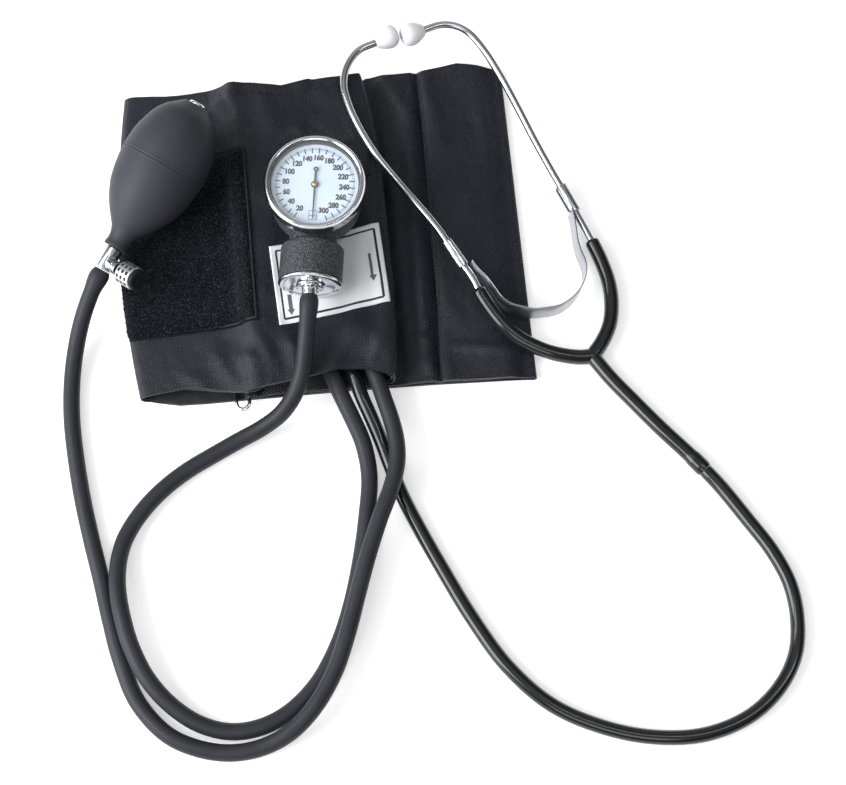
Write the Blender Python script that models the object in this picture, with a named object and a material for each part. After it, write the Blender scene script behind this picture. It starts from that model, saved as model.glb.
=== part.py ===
"""Aneroid sphygmomanometer: folded arm cuff, gauge, squeeze bulb, hoses and a stethoscope.

Metres, +Z up. The origin lies on the flat underside of the cuff. The cuff has its own frame, turned about Z:
"along" runs from its left fold to its right fold, and "across" runs from its hose edge to its far edge.
"""
import math

import bmesh
import bpy
from mathutils import Matrix, Vector

# Clearances
SEAT = 0.0003
OVERRUN = 0.0010

# Cuff cloth, folded flat
CLOTH = 0.0008
CUFF_TURN = math.radians(5.5)
CUFF_HALF = 0.0810
CUFF_LEFT = -0.0960
CUFF_RIGHT = 0.0930
LEFT_FOLD = 0.0042
RIGHT_FOLD = 0.00165
LEFT_BOW = 0.0064
TOP_BOW = 0.0038
TOP_LEAN = 0.0025
RETURN_END = -0.0270
TOP_FOLD_START = 0.0205
TOP_FOLD_DEPTH = 0.0037
LINING_BACK = 0.0035
CLOTH_STEP = 0.0220
CLOTH_COLUMNS = 4

# Pads, label and webbing on the cuff
HOOK_PAD = 0.0009
HOOK_PAD_START = -0.0240
HOOK_PAD_END = 0.0180
HOOK_PAD_LOW = -0.0600
HOOK_PAD_HIGH = 0.0600
LOOP_PAD = 0.0014
LOOP_PAD_END = -0.0340
LOOP_PAD_LOW = -0.0434
LOOP_PAD_HIGH_LEFT = 0.0555
LOOP_PAD_HIGH_RIGHT = 0.0467
LABEL_LENGTH = 0.0540
LABEL_WIDTH = 0.0405
LABEL = 0.0004
LABEL_ALONG = -0.0016
LABEL_ACROSS = -0.0264
LABEL_TURN = math.radians(7.5)
LABEL_LEAN = math.radians(2.9)
WEBBING = 0.0008
WEBBING_START = -0.0180
WEBBING_END = 0.0228
WEBBING_LOW = 0.0236
WEBBING_HIGH = 0.0424

# Bladder inside the top layer
BLADDER = 0.0020
BLADDER_START = -0.0370
BLADDER_END = 0.0170
BLADDER_LOW = -0.0700
BLADDER_HIGH = 0.0720
BLADDER_CORNER = 0.0060
PORT_NECK = 0.0032
PORT_BORE = 0.0018
PORT_SLEEVE = 0.0074

# Cuff ring
RING_WIRE = 0.0018
RING_WIDTH = 0.0063
RING_LOW = -0.0844
RING_HIGH = 0.0748
RING_ALONG = -0.0451

# Hoses and stethoscope tube
HOSE = 0.0080
TUBE = 0.0070
HOSE_STEP = 0.0160

# Chestpiece under the top layer
CHEST_ALONG = -0.0003
CHEST_ACROSS = -0.0241
CHEST_RADIUS = 0.0210
CHEST_HEIGHT = 0.0080
CHEST_RIM_HEIGHT = 0.0017
CHEST_RIM_WALL = 0.0018
CHEST_STEM = 0.0040
DIAPHRAGM = 0.0004

# Gauge
GAUGE_X = -0.0052
GAUGE_Y = 0.0068
GAUGE_TURN = math.radians(-2.9)
HOUSING_DEPTH = 0.0300
HOUSING_RADIUS = 0.0219
HOUSING_WALL = 0.0016
HOUSING_ROUND = 0.0095
HOUSING_RIM_DROP = 0.0006
BEZEL_RADIUS = 0.0240
BEZEL_OPENING = 0.02115
BEZEL_TOP = 0.0050
BEZEL_SKIRT = 0.0030
LENS = 0.0014
GASKET = 0.0017
DIAL = 0.0006
DIAL_HOLE = 0.0014
DRUM_RADIUS = 0.0150
DRUM_AXIS_DEPTH = 0.0148
DRUM_START = 0.0255
DRUM_END = 0.0435
NECK_RADIUS = 0.0112
FLANGE_RADIUS = 0.0152
FLANGE = 0.0015
BOSS_RADIUS = 0.0065
BOSS = 0.0013
BARB_RADIUS = 0.0036
BARB = 0.0033
AIR_BORE = 0.0014

# Gauge movement
CAPSULE_RADIUS = 0.0120
CAPSULE_NECK = 0.0060
CAPSULE_TOP = 0.0273
CAPSULE_WALL = 0.0005
CAPSULE_LOBES = 2
ROD_RADIUS = 0.0008
ROD_END = 0.01755
GEAR_MODULE = 0.0005
PINION_TEETH = 7
SECTOR_RATIO = 8
SECTOR_TEETH = 10
PINION_TOOTH_SHARES = (0.30, 0.20, 0.09)
SECTOR_TOOTH_SHARES = (0.36, 0.22, 0.11)
SECTOR_AWAY = 0.0030
SECTOR_TRAVEL = math.radians(42.5)
SECTOR = 0.0008
SECTOR_LEVEL = -0.0090
PINION_LEVEL = -0.0100
PINION_LENGTH = 0.0028
ARBOR = 0.0005
LOWER_PLATE_LEVEL = -0.0132
PLATE = 0.0012
UPPER_PLATE_LEVEL = -0.0052
UPPER_PLATE_RADIUS = 0.0120
LEDGE = 0.0016
PILLAR_RADIUS = 0.0014
PILLAR_CIRCLE = 0.0100
SCREW_SHANK = 0.0006
SCREW_HEAD = 0.0013
SCREW_HEAD_HEIGHT = 0.0007
SCREW_LENGTH = 0.0030
CRANK = 0.0030
CRANK_WIDTH = 0.0014
CRANK_LEVEL = -0.0154
HAIRSPRING_LEVEL = -0.0068
HAIRSPRING_HEIGHT = 0.0006
HAIRSPRING_STRIP = 0.0002
HAIRSPRING_START = 0.0012
HAIRSPRING_END = 0.0050
HAIRSPRING_TURNS = 4
STUD_RADIUS = 0.0004
POINTER = 0.0003
POINTER_LEVEL = 0.0009
POINTER_REACH = 0.0174
POINTER_TAIL = 0.0078
POINTER_RING = 0.0012
POINTER_BOSS = 0.0018
POINTER_WIDTH = 0.0009
HUB_RADIUS = 0.0012
HUB_HEIGHT = 0.0006

# Bulb, standing on its neck's mouth; its frame's Z runs from neck to far end
BULB_NECK = Vector((-0.1019, -0.0140, 0.0239))
BULB_FALL = Vector((0.497, 0.831, 0.248))
KNOB_WAY = Vector((0.729, -0.555, 0.400))
BULB_LENGTH = 0.0805
BULB_RADIUS = 0.0225
BULB_WALL = 0.0030
BULB_SHARES = [(0, 0.29), (0.035, 0.30), (0.07, 0.36), (0.14, 0.50), (0.24, 0.69), (0.36, 0.86), (0.48, 0.96),
               (0.60, 1), (0.72, 0.975), (0.84, 0.86), (0.92, 0.68), (0.97, 0.50), (1, 0.33)]

# Valves in the bulb's two mouths
VALVE_RADIUS = 0.00415
VALVE_LENGTH = 0.0118
SPIGOT_LENGTH = 0.0090
SIDE_BOSS_DROP = 0.0080
SIDE_BOSS_RADIUS = 0.0034
SIDE_BOSS_REACH = 0.0085
NEEDLE_RADIUS = 0.0017
NEEDLE_TIP = 0.0026
SEAL_WIDTH = 0.0012
SEAL_BORE = 0.0020
SEAL_RADIUS = 0.0026
SEAL_START = 0.0064
KNOB_START = 0.0120
KNOB_END = 0.0212
KNOB_RADIUS = 0.0057
KNOB_GROOVES = 10
KNOB_GROOVE = 0.0006
KNOB_BAND = 0.0026
CAP_LENGTH = 0.0015
CAP_RADIUS = 0.0051
NEEDLE_SOCKET = 0.0056
FLAP_RADIUS = 0.0018
FLAP = 0.0005
FLAP_TRAVEL = 0.0010
INLET_LENGTH = 0.0078
BALL_RADIUS = 0.0015
BALL_TRAVEL = 0.0010
SCREEN_RADIUS = 0.0028
SCREEN = 0.0004
INLET_SINK = 0.0004

# Stethoscope headset
FORK = Vector((0.1270, -0.0620, 0.0043))
HEADSET_WIDTH = 0.1200
HEADSET_LENGTH = 0.1700
HEADSET_HEIGHT = 0.0200
YOKE = 0.0072
STEM = 0.0074
EAR_TUBE = 0.0038
EAR_TUBE_BORE_SHARE = 0.5
EAR_TUBE_PLAY = 0.00065
TIP_LENGTH = 0.0121
TIP_RADIUS = 0.0059
TIP_STALK = 0.0029
TIP_GAP = 0.0010
CLIP_LENGTH = 0.0150
CLIP_WALL = 0.0009
SPRING_WIDTH = 0.0088
SPRING_STRIP = 0.0006
SPRING_TILT = math.radians(18)

# Sides of round pieces
FINE = 32
PLAIN = 22
SMALL = 10

# Levels of the cloth layers, from the table upwards
PITCH = CLOTH + SEAT
FLOOR_OUTER = CLOTH / 2
FLOOR_INNER = FLOOR_OUTER + PITCH
RETURN_INNER = FLOOR_INNER + PITCH
RETURN_OUTER = RETURN_INNER + PITCH
HOOK_BASE = RETURN_OUTER + CLOTH / 2 + SEAT
UNDER_OUTER = HOOK_BASE + HOOK_PAD + SEAT + CLOTH / 2
UNDER_INNER = UNDER_OUTER + PITCH
HOSE_LEVEL = UNDER_INNER + CLOTH / 2 + SEAT + HOSE / 2
OVER_INNER = HOSE_LEVEL + HOSE / 2 + SEAT + CLOTH / 2
BLADDER_BASE = OVER_INNER + CLOTH / 2 + SEAT
OVER_OUTER = BLADDER_BASE + BLADDER + SEAT + CLOTH / 2
CUFF_TOP = OVER_OUTER + CLOTH / 2
GAUGE_Z = CUFF_TOP + SEAT + LABEL + SEAT + max(HOUSING_DEPTH, FLANGE_RADIUS + DRUM_AXIS_DEPTH)
RING_SLEEVE = RING_WIRE / 2 + SEAT + CLOTH / 2
RING_LEVEL = FLOOR_INNER + CLOTH / 2 + SEAT + CLOTH / 2 + RING_SLEEVE

# Routes of the hoses and the tube, hand-set
GAUGE_HOSE_ROUTE = [
    (-0.0077, -0.0433, 0.0365), (-0.0080, -0.0490, 0.0364), (-0.0086, -0.0565, 0.0343),
    (-0.0095, -0.0665, 0.0305), (-0.0110, -0.0775, 0.0264), (-0.0145, -0.0865, 0.0214),
    (-0.0210, -0.0940, 0.0145), (-0.0305, -0.0995, 0.0086), (-0.0420, -0.1050, 0.0052),
    (-0.0550, -0.1125, 0.0042), (-0.0645, -0.1185, 0.0042), (-0.0735, -0.1255, 0.0042),
    (-0.0820, -0.1340, 0.0042), (-0.0890, -0.1435, 0.0044), (-0.0940, -0.1540, 0.0054),
    (-0.0960, -0.1655, 0.0074), (-0.0955, -0.1780, 0.0098), (-0.0925, -0.1920, 0.0110),
    (-0.0880, -0.2055, 0.0108), (-0.0805, -0.2195, 0.0094), (-0.0695, -0.2315, 0.0070),
    (-0.0560, -0.2400, 0.0050), (-0.0420, -0.2433, 0.0042), (-0.0285, -0.2413, 0.0042),
    (-0.0155, -0.2345, 0.0042), (-0.0030, -0.2215, 0.0042), (0.0060, -0.2045, 0.0042),
    (0.0120, -0.1860, 0.0042), (0.0165, -0.1635, 0.0042), (0.0193, -0.1410, 0.0042),
    (0.0203, -0.1220, 0.0044), (0.0175, -0.1070, 0.0060), (0.0125, -0.0955, 0.0088),
    (0.0080, -0.0865, 0.0110), (0.0038, -0.0775, 0.0118), (0.0005, -0.0695, 0.0118),
    (-0.0016, -0.0625, 0.0118), (-0.0025, -0.0555, 0.0118)]
BULB_HOSE_ROUTE = [
    (-0.1079, -0.0241, 0.0209), (-0.1112, -0.0300, 0.0190), (-0.1146, -0.0375, 0.0160),
    (-0.1182, -0.0475, 0.0116), (-0.1210, -0.0605, 0.0072), (-0.1223, -0.0760, 0.0046),
    (-0.1215, -0.0940, 0.0042), (-0.1185, -0.1140, 0.0042), (-0.1145, -0.1335, 0.0042),
    (-0.1095, -0.1530, 0.0042), (-0.1040, -0.1725, 0.0042), (-0.0990, -0.1915, 0.0042),
    (-0.0935, -0.2100, 0.0042), (-0.0850, -0.2295, 0.0042), (-0.0710, -0.2445, 0.0042),
    (-0.0565, -0.2510, 0.0042), (-0.0415, -0.2530, 0.0042), (-0.0270, -0.2505, 0.0052),
    (-0.0140, -0.2440, 0.0086), (-0.0030, -0.2325, 0.0118), (0.0055, -0.2170, 0.0132),
    (0.0110, -0.2000, 0.0134), (0.0155, -0.1815, 0.0134), (0.0200, -0.1635, 0.0133),
    (0.0255, -0.1450, 0.0131), (0.0310, -0.1295, 0.0129), (0.0335, -0.1170, 0.0127),
    (0.0330, -0.1065, 0.0124), (0.0305, -0.0960, 0.0121), (0.0273, -0.0865, 0.0119),
    (0.0246, -0.0785, 0.0118), (0.0218, -0.0705, 0.0118), (0.0196, -0.0630, 0.0118),
    (0.0185, -0.0555, 0.0118)]
STEM_ROUTE = [
    (0.1270, -0.0620, 0.0043), (0.1355, -0.0730, 0.0043), (0.1455, -0.0840, 0.0042),
    (0.1590, -0.0985, 0.0042), (0.1725, -0.1120, 0.0042), (0.1790, -0.1190, 0.0042)]
TUBE_ROUTE = [
    (0.1792, -0.1192, 0.0042), (0.1865, -0.1276, 0.0039), (0.1980, -0.1430, 0.0038),
    (0.2090, -0.1585, 0.0038), (0.2165, -0.1745, 0.0038), (0.2190, -0.1920, 0.0038),
    (0.2170, -0.2080, 0.0038), (0.2090, -0.2230, 0.0038), (0.1950, -0.2360, 0.0038),
    (0.1740, -0.2445, 0.0038), (0.1495, -0.2455, 0.0038), (0.1260, -0.2405, 0.0038),
    (0.1040, -0.2305, 0.0038), (0.0845, -0.2130, 0.0038), (0.0685, -0.1905, 0.0038),
    (0.0550, -0.1675, 0.0038), (0.0440, -0.1475, 0.0038), (0.0357, -0.1310, 0.0038),
    (0.0303, -0.1170, 0.0039), (0.0256, -0.1045, 0.0052), (0.0212, -0.0945, 0.0082),
    (0.0172, -0.0860, 0.0106), (0.0138, -0.0775, 0.0116), (0.0110, -0.0690, 0.0118),
    (0.0088, -0.0610, 0.0118), (0.0072, -0.0540, 0.0118)]

# Headset curves, as shares of its width, length and height from the fork
LEFT_ARM_SHARES = [(0, 0, 0), (-0.05, -0.004, 0.03), (-0.11, -0.002, 0.095), (-0.171, 0.005, 0.175),
                   (-0.231, 0.019, 0.245), (-0.291, 0.039, 0.325), (-0.339, 0.065, 0.395),
                   (-0.383, 0.10, 0.455), (-0.423, 0.138, 0.52), (-0.456, 0.175, 0.585)]
RIGHT_ARM_SHARES = [(0, 0, 0), (0.04, 0.042, 0.005), (0.072, 0.094, 0.01), (0.083, 0.154, 0.015),
                    (0.075, 0.218, 0.02), (0.048, 0.282, 0.03), (0.008, 0.349, 0.045)]
LEFT_TUBE_SHARES = [(-0.459, 0.179, 0.59), (-0.476, 0.205, 0.62), (-0.549, 0.278, 0.705),
                    (-0.62, 0.353, 0.80), (-0.698, 0.419, 0.89), (-0.783, 0.49, 0.955),
                    (-0.868, 0.57, 0.975), (-0.93, 0.645, 0.975), (-0.98, 0.724, 0.975),
                    (-1.003, 0.794, 0.97), (-0.988, 0.855, 0.95), (-0.942, 0.905, 0.92),
                    (-0.876, 0.93, 0.89)]
RIGHT_TUBE_SHARES = [(0.005, 0.353, 0.046), (-0.022, 0.392, 0.055), (-0.084, 0.478, 0.085),
                     (-0.148, 0.56, 0.145), (-0.217, 0.654, 0.225), (-0.286, 0.755, 0.31),
                     (-0.359, 0.855, 0.41), (-0.425, 0.931, 0.50), (-0.487, 0.981, 0.585),
                     (-0.545, 1.001, 0.645), (-0.608, 1, 0.705), (-0.674, 0.98, 0.765)]
SPRING_SHARES = [(-0.487, 0.247, 0.63), (-0.462, 0.224, 0.61), (-0.428, 0.20, 0.57), (-0.398, 0.172, 0.533),
                 (-0.373, 0.147, 0.501), (-0.338, 0.127, 0.469), (-0.29, 0.117, 0.437),
                 (-0.238, 0.112, 0.405), (-0.186, 0.117, 0.372), (-0.138, 0.125, 0.34),
                 (-0.097, 0.144, 0.308), (-0.063, 0.169, 0.276), (-0.038, 0.201, 0.244),
                 (-0.025, 0.236, 0.212), (-0.029, 0.271, 0.179), (-0.045, 0.303, 0.147),
                 (-0.056, 0.335, 0.122), (-0.062, 0.372, 0.118)]


# Tools

def clear_scene():
    for leftover in list(bpy.data.objects):
        bpy.data.objects.remove(leftover, do_unlink=True)


def finish(name, colour, roughness, metallic=0):
    """A plain material of the given colour."""
    made = bpy.data.materials.new(name)
    made.use_nodes = True
    shader = made.node_tree.nodes["Principled BSDF"]
    shader.inputs["Base Color"].default_value = (*colour, 1)
    shader.inputs["Roughness"].default_value = roughness
    shader.inputs["Metallic"].default_value = metallic
    return made


def empty(name, place=(0, 0, 0), turn=(0, 0, 0), parent=None):
    made = bpy.data.objects.new(name, None)
    made.location = place
    made.rotation_euler = turn
    made.parent = parent
    bpy.context.scene.collection.objects.link(made)
    return made


def publish(name, shape, material, parent=None, place=(0, 0, 0)):
    """Turn a bmesh into a named object with smooth round sides and sharp corners."""
    bmesh.ops.recalc_face_normals(shape, faces=shape.faces)
    mesh = bpy.data.meshes.new(name)
    shape.to_mesh(mesh)
    shape.free()
    mesh.shade_smooth()
    mesh.set_sharp_from_angle(angle=math.radians(35))
    mesh.materials.append(material)
    made = bpy.data.objects.new(name, mesh)
    made.location = place
    made.parent = parent
    bpy.context.scene.collection.objects.link(made)
    return made


def carve(target, tool, operation="DIFFERENCE", solver="EXACT"):
    """Cut a tool out of a piece, or join it on, and take the tool away."""
    cut = target.modifiers.new(operation.lower(), "BOOLEAN")
    cut.operation = operation
    cut.solver = solver
    cut.object = tool
    bpy.context.view_layer.update()
    shape = bpy.data.meshes.new_from_object(target.evaluated_get(bpy.context.evaluated_depsgraph_get()))
    target.modifiers.remove(cut)
    target.data = shape
    bpy.data.objects.remove(tool, do_unlink=True)
    return target


def tool_object(shape, parent=None, place=(0, 0, 0)):
    """A hidden cutter made from a bmesh."""
    bmesh.ops.recalc_face_normals(shape, faces=shape.faces)
    mesh = bpy.data.meshes.new("cutter")
    shape.to_mesh(mesh)
    shape.free()
    made = bpy.data.objects.new("cutter", mesh)
    made.location = place
    made.parent = parent
    made.hide_render = True
    made.display_type = "WIRE"
    bpy.context.scene.collection.objects.link(made)
    return made


def turned(outline, sides, looped=False, notches=0, notch=0):
    """Turn an outline of (radius, height) round Z; a third value marks a notched ring."""
    shape = bmesh.new()
    rings = []
    per_notch = sides // notches if notches else sides
    for point in outline:
        radius, height = point[:2]
        if radius == 0:
            rings.append([shape.verts.new((0, 0, height))])
            continue
        ring = []
        for step in range(sides):
            angle = math.tau * step / sides
            inside = len(point) > 2 and step % per_notch >= per_notch // 2
            reach = radius - notch if inside else radius
            ring.append(shape.verts.new((reach * math.cos(angle), reach * math.sin(angle), height)))
        rings.append(ring)
    pairs = list(zip(rings, rings[1:]))
    if looped:
        pairs.append((rings[-1], rings[0]))
    for first, second in pairs:
        for step in range(sides):
            corners = []
            for ring, place in ((first, step), (first, step + 1), (second, step + 1), (second, step)):
                corner = ring[place % len(ring)]
                if corner not in corners:
                    corners.append(corner)
            if len(corners) > 2:
                shape.faces.new(corners)
    bmesh.ops.remove_doubles(shape, verts=shape.verts, dist=SEAT / 100)
    return shape


def disc(radius, bottom, top, sides, bore=0):
    """A round plate between two heights, with a bore if one is given."""
    if bore:
        return turned([(bore, bottom), (radius, bottom), (radius, top), (bore, top)], sides, looped=True)
    return turned([(0, bottom), (radius, bottom), (radius, top), (0, top)], sides)


def prism(outline, bottom, top):
    """A flat outline pulled up from bottom to top."""
    shape = bmesh.new()
    low = [shape.verts.new((x, y, bottom)) for x, y in outline]
    face = shape.faces.new(low)
    pulled = bmesh.ops.extrude_face_region(shape, geom=[face])
    raised = [item for item in pulled["geom"] if isinstance(item, bmesh.types.BMVert)]
    bmesh.ops.translate(shape, verts=raised, vec=(0, 0, top - bottom))
    return shape


def moved(shape, matrix):
    bmesh.ops.transform(shape, matrix=matrix, verts=shape.verts)
    return shape


def smooth(points, step):
    """Points read every step or less from a smooth curve through the given points."""
    knots = [Vector(point) for point in points]
    padded = [2 * knots[0] - knots[1], *knots, 2 * knots[-1] - knots[-2]]
    found = [knots[0]]
    for place in range(1, len(padded) - 2):
        before, start, end, after = padded[place - 1:place + 3]
        span = [0.0]
        for one, two in ((before, start), (start, end), (end, after)):
            span.append(span[-1] + math.sqrt((two - one).length))
        pieces = max(1, math.ceil((end - start).length / step))
        for piece in range(1, pieces + 1):
            at = span[1] + (span[2] - span[1]) * piece / pieces
            found.append(curve_point((before, start, end, after), span, at))
    return found


def curve_point(points, span, at):
    """The point at one place on a centripetal curve through four points."""
    def blend(one, two, low, high):
        return one.lerp(two, (at - low) / (high - low))

    first = [blend(points[i], points[i + 1], span[i], span[i + 1]) for i in range(3)]
    second = [blend(first[i], first[i + 1], span[i], span[i + 2]) for i in range(2)]
    return blend(second[0], second[1], span[1], span[2])


def pipe(points, radius, sides):
    """A round bar along points, with flat ends, as a bmesh."""
    shape = bmesh.new()
    rings = sweep_rings(shape, points, round_section(radius, sides))
    for first, second in zip(rings, rings[1:]):
        wrap(shape, first, second)
    shape.faces.new(rings[0])
    shape.faces.new(rings[-1])
    return shape


def round_section(radius, sides):
    return [(radius * math.cos(math.tau * step / sides), radius * math.sin(math.tau * step / sides))
            for step in range(sides)]


def wrap(shape, first, second):
    count = len(first)
    for place in range(count):
        after = (place + 1) % count
        shape.faces.new((first[place], first[after], second[after], second[place]))


def sweep_rings(shape, points, section, up=Vector((0, 0, 1)), closed=False):
    """Rings of a section carried along points, kept upright."""
    rings = []
    last = len(points) - 1
    for place, point in enumerate(points):
        if closed:
            way = points[(place + 1) % len(points)] - points[place - 1]
        else:
            way = points[min(place + 1, last)] - points[max(place - 1, 0)]
        way.normalize()
        side = way.cross(up).normalized()
        top = side.cross(way).normalized()
        rings.append([shape.verts.new(point + side * x + top * y) for x, y in section])
    return rings


def looped_pipe(points, radius, sides):
    """A closed ring of round bar along points."""
    shape = bmesh.new()
    rings = sweep_rings(shape, points, round_section(radius, sides), closed=True)
    for first, second in zip(rings, rings[1:] + rings[:1]):
        wrap(shape, first, second)
    return shape


def cord(name, route, diameter, material, resolution):
    """A hose or tube as a bevelled curve along its hand-set route."""
    points = smooth(route, HOSE_STEP)
    data = bpy.data.curves.new(name, "CURVE")
    data.dimensions = "3D"
    data.bevel_depth = diameter / 2
    data.bevel_resolution = resolution
    data.use_fill_caps = True
    spline = data.splines.new("POLY")
    spline.points.add(len(points) - 1)
    for knot, point in zip(spline.points, points):
        knot.co = (*point, 1)
    data.materials.append(material)
    made = bpy.data.objects.new(name, data)
    bpy.context.scene.collection.objects.link(made)
    return made


def towards(place, way, spin=Vector((1, 0, 0))):
    """A frame at a place whose Z runs along way and whose X leans to spin."""
    z_axis = Vector(way).normalized()
    x_axis = (Vector(spin) - z_axis * z_axis.dot(Vector(spin))).normalized()
    y_axis = z_axis.cross(x_axis)
    turn = Matrix((x_axis, y_axis, z_axis)).transposed().to_4x4()
    turn.translation = Vector(place)
    return turn


# Finishes

CLOTH_FINISH = finish("black twill", (0.020, 0.020, 0.024), 0.9)
LINING_FINISH = finish("coated lining", (0.016, 0.016, 0.018), 0.7)
PILE_FINISH = finish("pile", (0.012, 0.012, 0.014), 1)
SATIN_FINISH = finish("white satin", (0.78, 0.78, 0.80), 0.6)
RUBBER_FINISH = finish("grey black rubber", (0.030, 0.031, 0.034), 0.6)
VINYL_FINISH = finish("gloss vinyl", (0.008, 0.008, 0.009), 0.25)
CHROME_FINISH = finish("chrome", (0.75, 0.76, 0.78), 0.12, 1)
CRINKLE_FINISH = finish("crinkle paint", (0.022, 0.022, 0.024), 0.55)
BRASS_FINISH = finish("brass", (0.62, 0.42, 0.15), 0.35, 1)
STEEL_FINISH = finish("steel", (0.5, 0.5, 0.5), 0.35, 1)
DIAL_FINISH = finish("pale dial", (0.74, 0.82, 0.92), 0.5)
INK_FINISH = finish("black ink", (0.01, 0.01, 0.01), 0.5)
LENS_FINISH = finish("clear lens", (0.95, 0.97, 1), 0.05)
TIP_FINISH = finish("white soft plastic", (0.85, 0.85, 0.84), 0.4)


# Cuff

def knot(along, level, low=-1, high=1, left=0, top=0):
    """One point of a cloth path: its place, its two edges as shares, and how far its middle bows."""
    return Vector((along, level, 0)), (low, high, left, top)


def smooth_rows(knots, step=CLOTH_STEP):
    """Points read from a smooth path through knots, with the knots' other values blended between."""
    found = []
    places = [place for place, _ in knots]
    padded = [2 * places[0] - places[1], *places, 2 * places[-1] - places[-2]]
    found.append((places[0], knots[0][1]))
    for place in range(len(places) - 1):
        around = padded[place:place + 4]
        span = [0.0]
        for one, two in zip(around, around[1:]):
            span.append(span[-1] + math.sqrt((two - one).length))
        pieces = max(1, math.ceil((around[2] - around[1]).length / step))
        for piece in range(1, pieces + 1):
            share = piece / pieces
            point = curve_point(around, span, span[1] + (span[2] - span[1]) * share)
            for axis in (0, 1):
                ends = sorted((around[1][axis], around[2][axis]))
                point[axis] = min(max(point[axis], ends[0]), ends[1])
            values = [a + (b - a) * share for a, b in zip(knots[place][1], knots[place + 1][1])]
            found.append((point, values))
    return found


def bowed(across, left, top):
    """How far the middle of a fold stands out beyond its ends."""
    part = across / CUFF_HALF
    shift = -left * LEFT_BOW * max(0, 1 - part ** 2)
    return shift + top * (TOP_BOW * max(0, 1 - part ** 4) - TOP_LEAN * max(0, part) ** 2)


def sheet(rows, thickness, columns, lift=0, edges=None):
    """A closed sheet of even thickness along rows, as a bmesh in the cuff's frame."""
    shape = bmesh.new()
    grids = []
    count = len(rows)
    for side in (-1, 1):
        grid = []
        for place, (point, values) in enumerate(rows):
            way = rows[min(place + 1, count - 1)][0] - rows[max(place - 1, 0)][0]
            normal = Vector((-way.y, way.x, 0)).normalized()
            spot = point + normal * (lift + side * thickness / 2)
            low, high = values[0] * CUFF_HALF, values[1] * CUFF_HALF
            if edges:
                low, high = edges(place / (count - 1))
            line = []
            for column in range(columns + 1):
                across = low + (high - low) * column / columns
                along = spot.x + bowed(across, values[2], values[3])
                line.append(shape.verts.new((along, across, spot.y)))
            grid.append(line)
        grids.append(grid)
    for grid in grids:
        for first, second in zip(grid, grid[1:]):
            for place in range(columns):
                shape.faces.new((first[place], first[place + 1], second[place + 1], second[place]))
    lower, upper = grids
    rim = [(lower[0], upper[0]), (lower[-1], upper[-1])]
    rim.append(([line[0] for line in lower], [line[0] for line in upper]))
    rim.append(([line[-1] for line in lower], [line[-1] for line in upper]))
    for first, second in rim:
        for place in range(len(first) - 1):
            shape.faces.new((first[place], first[place + 1], second[place + 1], second[place]))
    return shape


def arc(centre_along, centre_level, radius, start, end, steps, **values):
    """Knots on a round fold, from one angle to another in degrees."""
    made = []
    for step in range(steps + 1):
        angle = math.radians(start + (end - start) * step / steps)
        made.append(knot(centre_along + radius * math.cos(angle), centre_level + radius * math.sin(angle),
                         **values))
    return made


LEFT_CENTRE = CUFF_LEFT + LEFT_FOLD + CLOTH / 2
LEFT_LEVEL = FLOOR_OUTER + LEFT_FOLD
RIGHT_CENTRE = CUFF_RIGHT - RIGHT_FOLD - CLOTH / 2
RIGHT_LEVEL = FLOOR_OUTER + RIGHT_FOLD
PILE_WIDTH = BLADDER_START - SEAT * 10 - LEFT_CENTRE
PILE_RISE = OVER_OUTER - LEFT_LEVEL - LEFT_FOLD
OUTER_RISE_SHARES = [(0.32, 0.12), (0.61, 0.26), (0.80, 0.40), (0.88, 0.56), (0.94, 0.86), (1, 1)]
INNER_RISE_SHARES = [(0.32, 0.02), (0.61, 0.16), (0.80, 0.29), (0.88, 0.40), (0.94, 0.54), (0.99, 0.64)]
OUTER_FOLD_SHARES = [(0.72, 0.95), (0.97, 0.77), (1, 0.5), (0.95, 0.24), (0.62, 0.058), (-0.1, 0)]
INNER_FOLD_SHARES = [(-0.05, 0.93), (0.54, 0.72), (0.65, 0.47), (0.54, 0.22), (-0.03, 0.04)]
TOP_LOW_SHARES = [-0.91, -0.95, -0.97, -0.975, -0.975, -0.975]
TOP_HIGH_SHARES = [0.995, 0.985, 0.98, 0.98, 0.98, 0.98]


def top_layer(rise_shares):
    """The path of the top layer, from the bladder's left edge down to the left fold."""
    made = []
    values = list(zip(rise_shares, TOP_LOW_SHARES, TOP_HIGH_SHARES))
    for (along, rise), low, high in reversed(values):
        left = max(0, 1 - along / 0.61)
        made.append(knot(LEFT_CENTRE + along * PILE_WIDTH, LEFT_LEVEL + LEFT_FOLD + rise * PILE_RISE,
                         low, high, left=left))
    return made


def ring_end():
    """The cloth that wraps the ring's wire and climbs to the layer under the hoses."""
    made = [knot(RING_ALONG + RING_SLEEVE * 2.4, RING_LEVEL + RING_SLEEVE, -0.975, 0.877),
            knot(RING_ALONG + RING_SLEEVE, RING_LEVEL + RING_SLEEVE, -0.975, 0.877)]
    made += arc(RING_ALONG, RING_LEVEL, RING_SLEEVE, 90, 270, 6, low=-0.975, high=0.877)
    climb = UNDER_OUTER - RING_LEVEL + RING_SLEEVE
    for along, rise, high in ((RING_SLEEVE * 1.2, 0.02, 0.88), (RING_SLEEVE * 3.8, 0.33, 0.91),
                              (RING_SLEEVE * 7.6, 0.82, 0.96)):
        made.append(knot(RING_ALONG + along, RING_LEVEL - RING_SLEEVE + rise * climb, -0.975, high))
    return made


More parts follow.
